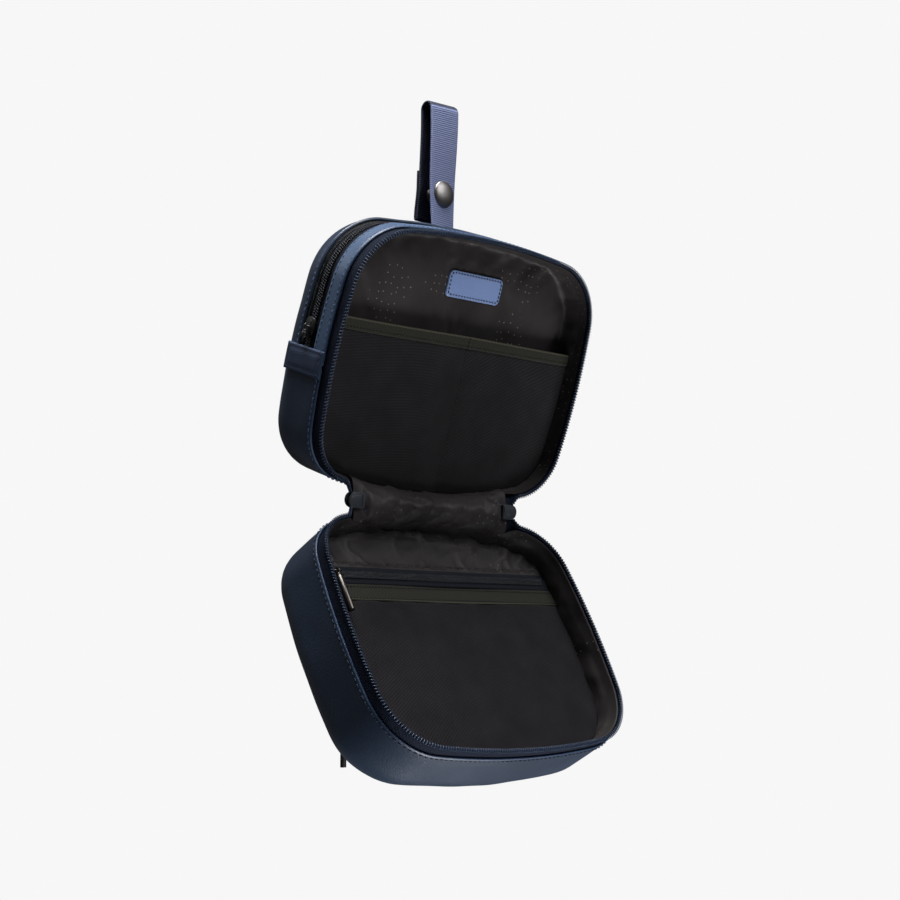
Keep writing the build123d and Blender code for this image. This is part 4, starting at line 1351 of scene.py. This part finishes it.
def build_partition_strip():
    """Loose strip of lining between the hinge and the inner zip."""
    rows = np.concatenate([5.0 + 6 * np.linspace(0, 1, 9) ** 1.4, np.linspace(12.2, 31.6, 22)])
    x, s = panel_grid(rows, 4.3, 130)
    fold = 1.5 * np.exp(-np.square((s - 7.5 - hinge_rise(x) * 0.7) / 1.6))
    creases = 0.5 * np.sin((x + 1.7 * s) / 5.2) * np.sin((s - 5) / 26.5 * math.pi)
    d = LOWER_PANEL_D + 0.2 + fold + inner_wave(x, s) + creases * smooth(-70, -20, -np.abs(x))
    points = LOWER.at(x, s, d)
    pinned = np.zeros(x.shape)
    pinned[:, -2:] = 1
    pinned[:, 0] = 0.8
    pinned[[0, -1]] = 0.9
    normal = np.broadcast_to(-LOWER.d, points.shape)
    found = slack(points, 41, normal, pinned, growth=0.05, limit=1.7)
    piece = sheet("partition_cloth", found, LINING, facing=-LOWER.d)
    finish_piece(piece, "lower_half", "lining", "lower_partition_lining")
    path = LOWER.at(x[:, -4], s[:, -4], d[:, -4] - 0.3)
    return path, -LOWER.d


stitch_rows("seam_partition", "lower_half", "lining", [build_partition_strip()],
            DARK_THREAD, (1.4, 2.3, 0.26))

# ---- hinge ----------------------------------------------------------------------------
def hinge_curve(x, control_upper, middle, control_lower, rows):
    """Smooth curve across the hinge at each x, through (s, d) points of both halves."""
    knots = [UPPER.at(x, s, d) for s, d in control_upper]
    knots.append(HINGE + np.stack([x, middle[0], middle[1]], -1))
    knots += [LOWER.at(x, s, d) for s, d in control_lower[::-1]]
    knots = np.stack(knots, 1)
    knots = np.concatenate([2 * knots[:, :1] - knots[:, 1:2], knots,
                            2 * knots[:, -1:] - knots[:, -2:-1]], 1)
    count = knots.shape[1] - 3
    out = []
    for value in np.linspace(0, count - 1e-6, rows):
        k, t = int(value), value - int(value)
        a, b, c, e = (knots[:, k + i] for i in range(4))
        out.append(((-t**3 + 3 * t**2 - 3 * t + 1) * a + (3 * t**3 - 6 * t**2 + 4) * b
                    + (-3 * t**3 + 3 * t**2 + 3 * t + 1) * c + t**3 * e) / 6)
    return np.stack(out, 1)


def hinge_blend(piece, slot, *nodes):
    """Bakes a piece's modifiers and placing into its mesh and hides the nodes it stands for."""
    bake(piece)
    start = UPPER.at(0.0, HINGE_GAP, 3.0) * MM
    end = LOWER.at(0.0, HINGE_GAP, 3.0) * MM
    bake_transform(piece)
    if nodes:
        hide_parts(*nodes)


def build_hinge():
    """Leather strip outside the hinge and wrinkled lining inside it."""
    x = np.linspace(-52, 52, 90)
    r = hinge_rise(x)
    side = [(r - 0.05, 8.2), (r - 0.05, 6.0), (r * 0.98, 3.6), (r * 0.85, 1.6)]
    points = hinge_curve(x, side, (1.9 + 0 * x, 0 * x), side, 26)
    points[..., 1] += 0.1 * wobble(points, 18, 91)
    strip_piece = sheet("hinge_leather", points, NAVY, facing=(0, 1, 0))
    thicken(strip_piece, 0.9)
    hinge_blend(strip_piece, "navy_leather", "hinge_spine_upper", "hinge_spine_lower")
    x = np.linspace(-59, 59, 130)
    r = hinge_rise(x)
    end = smooth(48, 57, np.abs(x))
    side_u = [(r + 4.9, 12.6), (r + 4.9, 9.5), (r + 4.7, 6.8), (0.8 * r + 4.4 - end, 4.2)]
    side_l = [(r + 4.6, 17.8), (r + 4.3, 12.5), (r + 3.8, 8.0), (0.8 * r + 3.2 - end, 4.6)]
    ridge = -3.6 + 5.0 * end - 0.3 * np.sin(x / 9.0)
    points = hinge_curve(x, side_u, (ridge, 0.6 * np.sin(x / 13.0)), side_l, 40)
    along = np.linspace(0, 1, 40)[None, :]
    across = x[:, None]
    folds = np.sin((across * 0.8 + along * 34) / 4.3 + 1.5 * np.sin(across / 17))
    folds = np.sign(folds) * np.abs(folds) ** 0.7
    folds = 1.0 * folds + 0.25 * np.sin((across * 1.1 - along * 21) / 2.6 + np.sin(across / 11))
    folds = folds * (0.55 + 0.45 * smooth(0.35, 0.65, along))
    facing = unit(np.cross(np.gradient(points, axis=0), np.gradient(points, axis=1)))
    facing = facing * np.sign(-facing[..., 1].mean())
    quiet = (1 - end)[:, None] * np.sin(along * math.pi) ** 0.7
    points = points + facing * (np.maximum(folds, -0.35) * quiet)[..., None]
    pinned = np.zeros(points.shape[:2])
    pinned[:, [0, 1, -2, -1]] = 1
    pinned[:, 19:21] = 0.25
    pinned[np.abs(x) > 53] = 1
    found = slack(points, 53, facing, pinned, growth=0.05, limit=0.9)
    cloth = sheet("hinge_cloth", found, LINING, facing=(0, -1, 0))
    hinge_blend(cloth, "lining")


build_hinge()

# ---- hanging strap --------------------------------------------------------------------
LOOP_MID_R = 4.25
FREE_END_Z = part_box("strap_flap")[0].z / MM
HEM_TOP_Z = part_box("strap_hem")[1].z / MM
RIB_PITCH = 1.2
HEM_GAP = 1.7       # between the middles of the free leg and its folded end


def kick(z):
    """How far the free leg stands behind the loop's axis at a height."""
    return LOOP_MID_R + 2.2 * smooth(-44, FREE_END_Z, z)


def strap_path():
    """Centre line of the strap in (y, z): front leg, loop, free leg and folded hem."""
    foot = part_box("hanging_strap")[0].z / MM
    front = [(-LOOP_MID_R, z) for z in np.linspace(foot, -0.5, 60)]
    arch = [(-LOOP_MID_R * math.cos(t), LOOP_MID_R * math.sin(t))
            for t in np.linspace(0, math.pi, 20)]
    free = [(kick(z), z) for z in np.linspace(-0.5, FREE_END_Z + 0.8, 40)]
    fold = [(kick(FREE_END_Z) + 0.85 - 0.85 * math.cos(t), FREE_END_Z + 0.8 - 0.8 * math.sin(t))
            for t in np.linspace(0.2, math.pi - 0.2, 6)]
    hem = [(kick(z) + HEM_GAP, z) for z in np.linspace(FREE_END_Z + 0.8, HEM_TOP_Z, 20)]
    return np.array(front + arch + free + fold + hem)


def build_strap():
    """Ribbed webbing strap in one length."""
    path = strap_path()
    path3 = np.c_[np.zeros(len(path)), path]
    step = RIB_PITCH / 6
    path3 = resample(path3, step)[0]
    tangent = unit(np.gradient(path3, axis=0))
    normal = unit(np.cross([1.0, 0, 0], tangent))
    rib = 0.13 * np.sin(np.arange(len(path3)) * 2 * math.pi * step / RIB_PITCH)
    upper = [(-10, 0), (-9.9, 0.45), (-9.6, 0.62)] + [(x, 0.72) for x in np.linspace(-9, 9, 9)]
    upper = np.array(upper + [(9.6, 0.62), (9.9, 0.45)])
    section = np.concatenate([upper, -upper])
    ribbed_part = np.sign(section[:, 1]) * (np.abs(section[:, 0]) < 9.3)
    half_off = section[None, :, 1] + rib[:, None] * ribbed_part[None, :]
    turn = np.radians(np.interp(path3[:, 2], [-80, -45, 0], [12.0, 3.0, -5.0]))
    turn = turn * (1 - 0.9 * smooth(-3, 3, path3[:, 1]))
    lean = 1.8 * smooth(-50, 0, path3[:, 2])
    x = section[None, :, 0] * STRAP_WIDTH / 20
    across = x * np.cos(turn)[:, None]
    points = path3[:, None] + normal[:, None] * half_off[..., None]
    points[..., 0] += across + lean[:, None]
    points[..., 1] += x * np.sin(turn)[:, None]
    points[..., 1] += 0.15 * np.sin(path3[:, 2] / 11)[:, None]
    points = np.concatenate([points, points[:, :1]], 1)
    length = u_along(path3[:, 1:])
    uv = np.stack(np.broadcast_arrays(length[:, None], closed(section[:, 0])[None, :]), -1)
    piece = sheet("strap", points, WEBBING, uv=uv)
    turn_over = int(np.argmax(path3[:, 2] > 1.5))
    # The back of the loop, the free leg and the hem get the darker webbing: painted shade.
    paint(piece, points.shape[1] - 1, WEBBING_PAINTED_SHADE, lambda row, column: row > turn_over)
    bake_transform(piece)
    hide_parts("hanging_strap", "strap_flap", "strap_hem")


build_strap()
hem_rows = []
for z in (HEM_TOP_Z - 2.5, FREE_END_Z + 3):
    hem_y = kick(z) + HEM_GAP + 0.75
    hem_rows.append((np.array([[-8.5, hem_y, z], [8.5, hem_y, z]]), np.array([0, 1.0, 0])))
stitch_rows("seam_hem", "strap_end", "webbing", hem_rows, DARK_THREAD, (1.8, 2.6, 0.22))


def revolve(profile, origin, axis, steps=40):
    """Points and faces of a profile of (radius, height) turned about an axis."""
    axis = unit(np.asarray(axis, float))
    x_dir = unit(np.cross(axis, [0.31, 0.2, 0.93]))
    y_dir = np.cross(axis, x_dir)
    turn = np.linspace(0, 2 * math.pi, steps, endpoint=False)
    ring = np.cos(turn)[:, None] * x_dir + np.sin(turn)[:, None] * y_dir
    points = np.concatenate([origin + r * ring + h * axis for r, h in profile])
    return points, ring_faces(len(profile), steps)


def hard_piece(name, parts, material, body, slot, *nodes, bevel=0.0):
    """Metal piece from several parts, with bevelled edges."""
    piece = make_object(name, *join(parts), material)
    if bevel:
        made = piece.modifiers.new("bevel", "BEVEL")
        made.width = bevel * MM
        made.segments = 2
        made.limit_method = "ANGLE"
        made.angle_limit = math.radians(35)
    return finish_piece(piece, body, slot, *nodes)


SNAP_Z = (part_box("snap_cap")[0].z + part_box("snap_cap")[1].z) / 2 / MM
cap_profile = [(6.9, -0.05), (7.4, 0.1), (7.5, 0.4), (7.4, 0.8), (7.0, 1.2), (6.2, 1.62),
               (5.2, 1.98), (4.2, 2.24), (2.8, 2.47), (1.4, 2.58), (0.2, 2.6)]
post = [(1.8, -1.6), (1.8, 0.1)]
front_face = np.array([0.0, -LOOP_MID_R - 0.85, SNAP_Z])
hard_piece("snap_cap_dome", [revolve(cap_profile, front_face, (0, -1, 0), 56),
                             revolve(post, front_face, (0, -1, 0), 20)],
           SNAP_METAL, "upper_half", "gunmetal", "snap_cap")
inner_face = np.array([0.0, -LOOP_MID_R + 0.9, SNAP_Z])
socket = [(2.7, 0.6), (2.7, 2.9), (3.2, 3.0), (3.6, 2.7), (4.0, 1.0), (5.2, 0.8), (5.5, 0.4),
          (5.4, 0.0), (1.0, 0.0)]
hard_piece("snap_socket_ring", [revolve(socket, inner_face, (0, 1, 0), 40)],
           GUNMETAL, "upper_half", "gunmetal", "snap_socket")
stud = [(0.6, -1.6), (1.7, -1.5), (2.1, -1.0), (2.1, -0.5), (1.85, -0.2), (1.85, 2.4), (4.9, 2.6),
        (5.0, 3.0), (4.9, 3.35), (1.85, 3.4), (1.85, 8.1), (4.8, 8.1), (5.0, 8.5), (4.6, 9.0),
        (3.0, 9.15), (2.4, 8.8), (0.5, 8.75)]
hard_piece("snap_stud_post", [revolve(stud, np.array([0.0, 0.0, SNAP_Z]), (0, 1, 0), 40)],
           GUNMETAL, "strap_end", "gunmetal", "snap_stud")

# ---- sliders and pulls ----------------------------------------------------------------
PLATE_LIFT = 1.2
PLATE = 1.1
WIRE_RISE = 2.1
PIVOT_RISE = PLATE_LIFT + PLATE + WIRE_RISE
RING_R = 1.45
BAR_LENGTH = 22.0


def crown(base):
    """Bridge over a slider that the pull's ring hangs on."""
    left = [(0, -1.7, z) for z in (base - 0.3, base + WIRE_RISE - 0.7)]
    bend = [(0, -1.7 + 0.7 * (1 - math.cos(t)), base + WIRE_RISE - 0.7 + 0.7 * math.sin(t))
            for t in quarter(5, 1)]
    rise = left + bend
    path = np.array(rise + [(x, -y, z) for x, y, z in rise[::-1]])
    return tube(path, 0.5, 8, np.array([1.0, 0, 0]))


def ring_part():
    """Ring of a pull, about the bridge at the origin."""
    turn = np.linspace(0, 2 * math.pi, 24, endpoint=False)
    path = np.stack([0.5 + RING_R * np.cos(turn), 0 * turn, RING_R * np.sin(turn)], -1)
    return tube(path, 0.4, 8, np.array([0, 1.0, 0]), closed=True)


def bar_part(length, stout=1.0):
    """Bar of a pull along x: a short neck, a plain shank and a flat end with a broken edge."""
    start = 2.1
    end = start + length
    neck = min(1.2, length * 0.3)
    profile = [(0.5, start - 0.15), (1.1, start), (1.25, start + 0.3), (1.25, start + neck),
               (1.5, start + neck + 0.2), (1.6, start + neck + 0.5), (1.6, end - 0.3),
               (1.52, end - 0.08), (1.35, end), (0.1, end + 0.01)]
    return revolve([(r * stout, x) for r, x in profile], np.zeros(3), (1, 0, 0), 28)


def pocket_slider_parts():
    """Plate, flanges and bridge of a pocket zip's slider in its own frame; x is the travel."""
    shape = rounded_rect(10.0, 7.4, 3.0, 8)
    pinch = 1 - 0.12 * np.exp(-np.square((shape[:, :1] + 1.0) / 2.0)) * (np.arange(2) == 1)
    plate = prism(shape * pinch, PLATE_LIFT, PLATE_LIFT + PLATE)
    flanges = [prism(rounded_rect(5.6, 0.8, 0.35, 4) + (0, side * 3.2), PLATE_LIFT - 0.9,
                     PLATE_LIFT + 0.1) for side in (1, -1)]
    top = PLATE_LIFT + PLATE
    spine = prism(rounded_rect(7.0, 2.2, 1.0, 5), top - 0.05, top + 0.25)
    return [plate, spine] + flanges


def place_zip(tag, node, half, point, travel, normal, pull_dir, length, swing, material, slot,
              stout=1.0):
    """Slider and pull of a pocket zip."""
    at = half.at(*point)
    x_dir, z_dir, down = (half.vec(*v) for v in (travel, normal, pull_dir))
    parts = [moved(part, at, x_dir, z_dir) for part in pocket_slider_parts()]
    parts.append(moved(crown(PLATE_LIFT + PLATE), at, down, z_dir))
    hard_piece(f"{tag}_slider_body", parts, material, f"{tag}_zip_slider", slot,
               f"{node}_slider", bevel=0.18)
    bar_x = math.cos(swing) * down + math.sin(swing) * z_dir
    bar_z = -math.sin(swing) * down + math.cos(swing) * z_dir
    pivot = at + PIVOT_RISE * z_dir
    parts = [moved(part, pivot, bar_x, bar_z) for part in (ring_part(), bar_part(length, stout))]
    hard_piece(f"{tag}_pull_bar", parts, material, f"{tag}_zip_pull", slot, f"{node}_pull")


place_zip("outer", "outer", LOWER, (OUTER_SLIDER_X, OUTER_ZIP_S, LOWER_DEPTH - 1.3), (1, 0, 0),
          (0, 0, 1), (0, 1, 0), BAR_LENGTH, LOWER_TILT, BLACK_METAL, "black_metal")
place_zip("inner", "inner", LOWER, (INNER_SLIDER_X, INNER_ZIP_S, LOWER_PANEL_D), (1, 0, 0),
          (0, 0, -1), (0, 1, 0), BAR_LENGTH, 0.0, GUNMETAL, "gunmetal", 1.2)
arch_turn = math.asin((ARCH_SLIDER_S - HINGE_GAP - HEIGHT / 2) / SIDE_R)
arch_r = SIDE_R - 1.3
arch_at = (-(WIDTH / 2 - SIDE_R + arch_r * math.cos(arch_turn)),
           HEIGHT / 2 + HINGE_GAP + arch_r * math.sin(arch_turn), ARCH_ZIP_DEPTH)
arch_travel = (math.sin(arch_turn), math.cos(arch_turn), 0)
arch_normal = (-math.cos(arch_turn), math.sin(arch_turn), 0)
place_zip("rear", "arch", UPPER, arch_at, arch_travel, arch_normal,
          (-arch_travel[0], -arch_travel[1], 0), 4.0, 0.0, BLACK_METAL, "black_metal")

MAIN_SLIDER_TURN = math.radians(8)
MAIN_PLATE_TOP = 2.2


def main_slider_parts():
    """Main zip slider; x points to its nose and z to the outside of the bag."""
    nose = [(1.3 + 4.2 * math.cos(t), 4.2 * math.sin(t))
            for t in np.linspace(-math.pi / 2, math.pi / 2, 16)]
    tail = [(-5.5 + 1.0 - 1.0 * math.sin(t), 3.2 + 1.0 * math.cos(t))
            for t in quarter(5)]
    shape = np.array(nose + tail + [(x, -y) for x, y in tail[::-1]])
    inner = prism(shape, -MAIN_PLATE_TOP, -1.1)
    outer = prism(shape, 1.1, MAIN_PLATE_TOP)
    rib = prism(rounded_rect(1.5, 7.0, 0.6, 4) + (-4.2, 0), -2.6, -2.1)
    panel = prism(shape * 0.62 + (0.9, 0), -2.42, -2.15)
    wedge = revolve([(1.4, -1.2), (1.4, 1.2)], np.array([2.9, 0, 0]), (0, 0, 1), 16)
    rails = []
    for sign in (1, -1):
        for low, high in ((-1.3, -0.35), (0.35, 1.3)):
            rails.append(prism(rounded_rect(7.5, 0.8, 0.3, 4) + (-0.6, sign * 3.8), low, high))
    return [inner, outer, rib, panel, wedge, crown(MAIN_PLATE_TOP)] + rails


for side, name in ((-1, "left"), (1, "right")):
    up = np.array([0.0, math.cos(MAIN_SLIDER_TURN), math.sin(MAIN_SLIDER_TURN)])
    at = HINGE + (side * MAIN_SLIDER_X, 0, 0)
    nose_dir, pull_dir = np.array([side, 0, 0]), np.array([-side, 0, 0])
    parts = [moved(part, at, nose_dir, up) for part in main_slider_parts()]
    hard_piece(f"main_slider_body_{name}", parts, SLATE, "upper_half", "slate_metal",
               f"main_slider_{name}", bevel=0.2)
    pivot = at + (MAIN_PLATE_TOP + WIRE_RISE) * up
    parts = [moved(part, pivot, pull_dir, up) for part in (ring_part(), bar_part(BAR_LENGTH))]
    hard_piece(f"main_pull_bar_{name}", parts, GUNMETAL, f"main_zip_pull_{name}", "gunmetal",
               f"main_pull_{name}")

# ---- camera, light and floor ----------------------------------------------------------
EYE_TURN = math.radians(44.77)      # the camera stands to the left of the bag's front
EYE_RISE = math.radians(-6.57)      # and looks slightly upwards
EYE_DISTANCE = 973.0
EYE_SHIFT = (8.73, 31.2)
EYE_FOCAL = 1752.6 * 36 / 900


def build_camera():
    """Camera at the reference viewpoint."""
    back = np.array([-math.sin(EYE_TURN) * math.cos(EYE_RISE),
                     -math.cos(EYE_TURN) * math.cos(EYE_RISE), math.sin(EYE_RISE)])
    right = np.array([math.cos(EYE_TURN), -math.sin(EYE_TURN), 0.0])
    up = np.cross(back, right)
    place = HINGE + EYE_SHIFT[0] * right + EYE_SHIFT[1] * up + EYE_DISTANCE * back
    data = bpy.data.cameras.new("camera")
    data.sensor_width = 36
    data.lens = EYE_FOCAL
    data.clip_start = 0.05
    data.clip_end = 100
    camera = linked("camera", data)
    turn = Matrix(np.stack([right, up, back], 1).tolist()).to_4x4()
    camera.matrix_world = Matrix.Translation(Vector(place * MM)) @ turn
    bpy.context.scene.camera = camera


def area_light(name, place, target, size, power):
    """Rectangular soft light at a place, facing a target, in metres."""
    data = bpy.data.lights.new(name, "AREA")
    data.shape = "RECTANGLE"
    data.size, data.size_y = size
    data.energy = power
    light = linked(name, data)
    light.location = place
    light.rotation_mode = "QUATERNION"
    light.rotation_quaternion = (Vector(target) - Vector(place)).to_track_quat("-Z", "Y")


def build_stage():
    """Pale floor and surround that read as one even studio paper, and soft lights."""
    scene = bpy.context.scene
    scene.view_settings.view_transform = "Standard"
    paper = (0.93, 0.93, 0.93, 1)
    world = bpy.data.worlds.new("surround")
    world.use_nodes = True
    tree = world.node_tree
    shade = tree.nodes["Background"]
    shade.inputs["Color"].default_value = paper
    seen = tree.nodes.new("ShaderNodeLightPath").outputs["Is Camera Ray"]
    strength = tree.nodes.new("ShaderNodeMapRange")
    strength.inputs["To Min"].default_value = 0.06
    strength.inputs["To Max"].default_value = 1.0
    tree.links.new(seen, strength.inputs["Value"])
    tree.links.new(strength.outputs["Result"], shade.inputs["Strength"])
    scene.world = world
    floor_mat = bpy.data.materials.new("paper")
    floor_mat.use_nodes = True
    nodes = floor_mat.node_tree.nodes
    nodes.remove(nodes["Principled BSDF"])
    glow = nodes.new("ShaderNodeEmission")
    glow.inputs["Color"].default_value = paper
    floor_mat.node_tree.links.new(glow.outputs[0], nodes["Material Output"].inputs["Surface"])
    corners = np.array([(-4, -4), (4, -4), (4, 4), (-4, 4)]) / MM
    floor = make_object("floor", np.c_[corners, np.full(4, -1.1 / MM)], [(0, 1, 2, 3)], floor_mat)
    floor.visible_diffuse = floor.visible_glossy = floor.visible_shadow = False
    middle, top = (0, 0, -0.25), (0, 0, -0.05)
    area_light("top_light", (-0.2, -0.2, 1.15), top, (0.9, 0.7), 44)
    area_light("low_light", (0.25, -0.5, -1.5), middle, (1.1, 0.7), 30)
    area_light("front_light", (0.45, -1.25, 0.7), middle, (0.9, 0.9), 14)
    area_light("rim_light", (-0.9, 0.9, 0.9), top, (0.8, 0.6), 3)


build_camera()
build_stage()
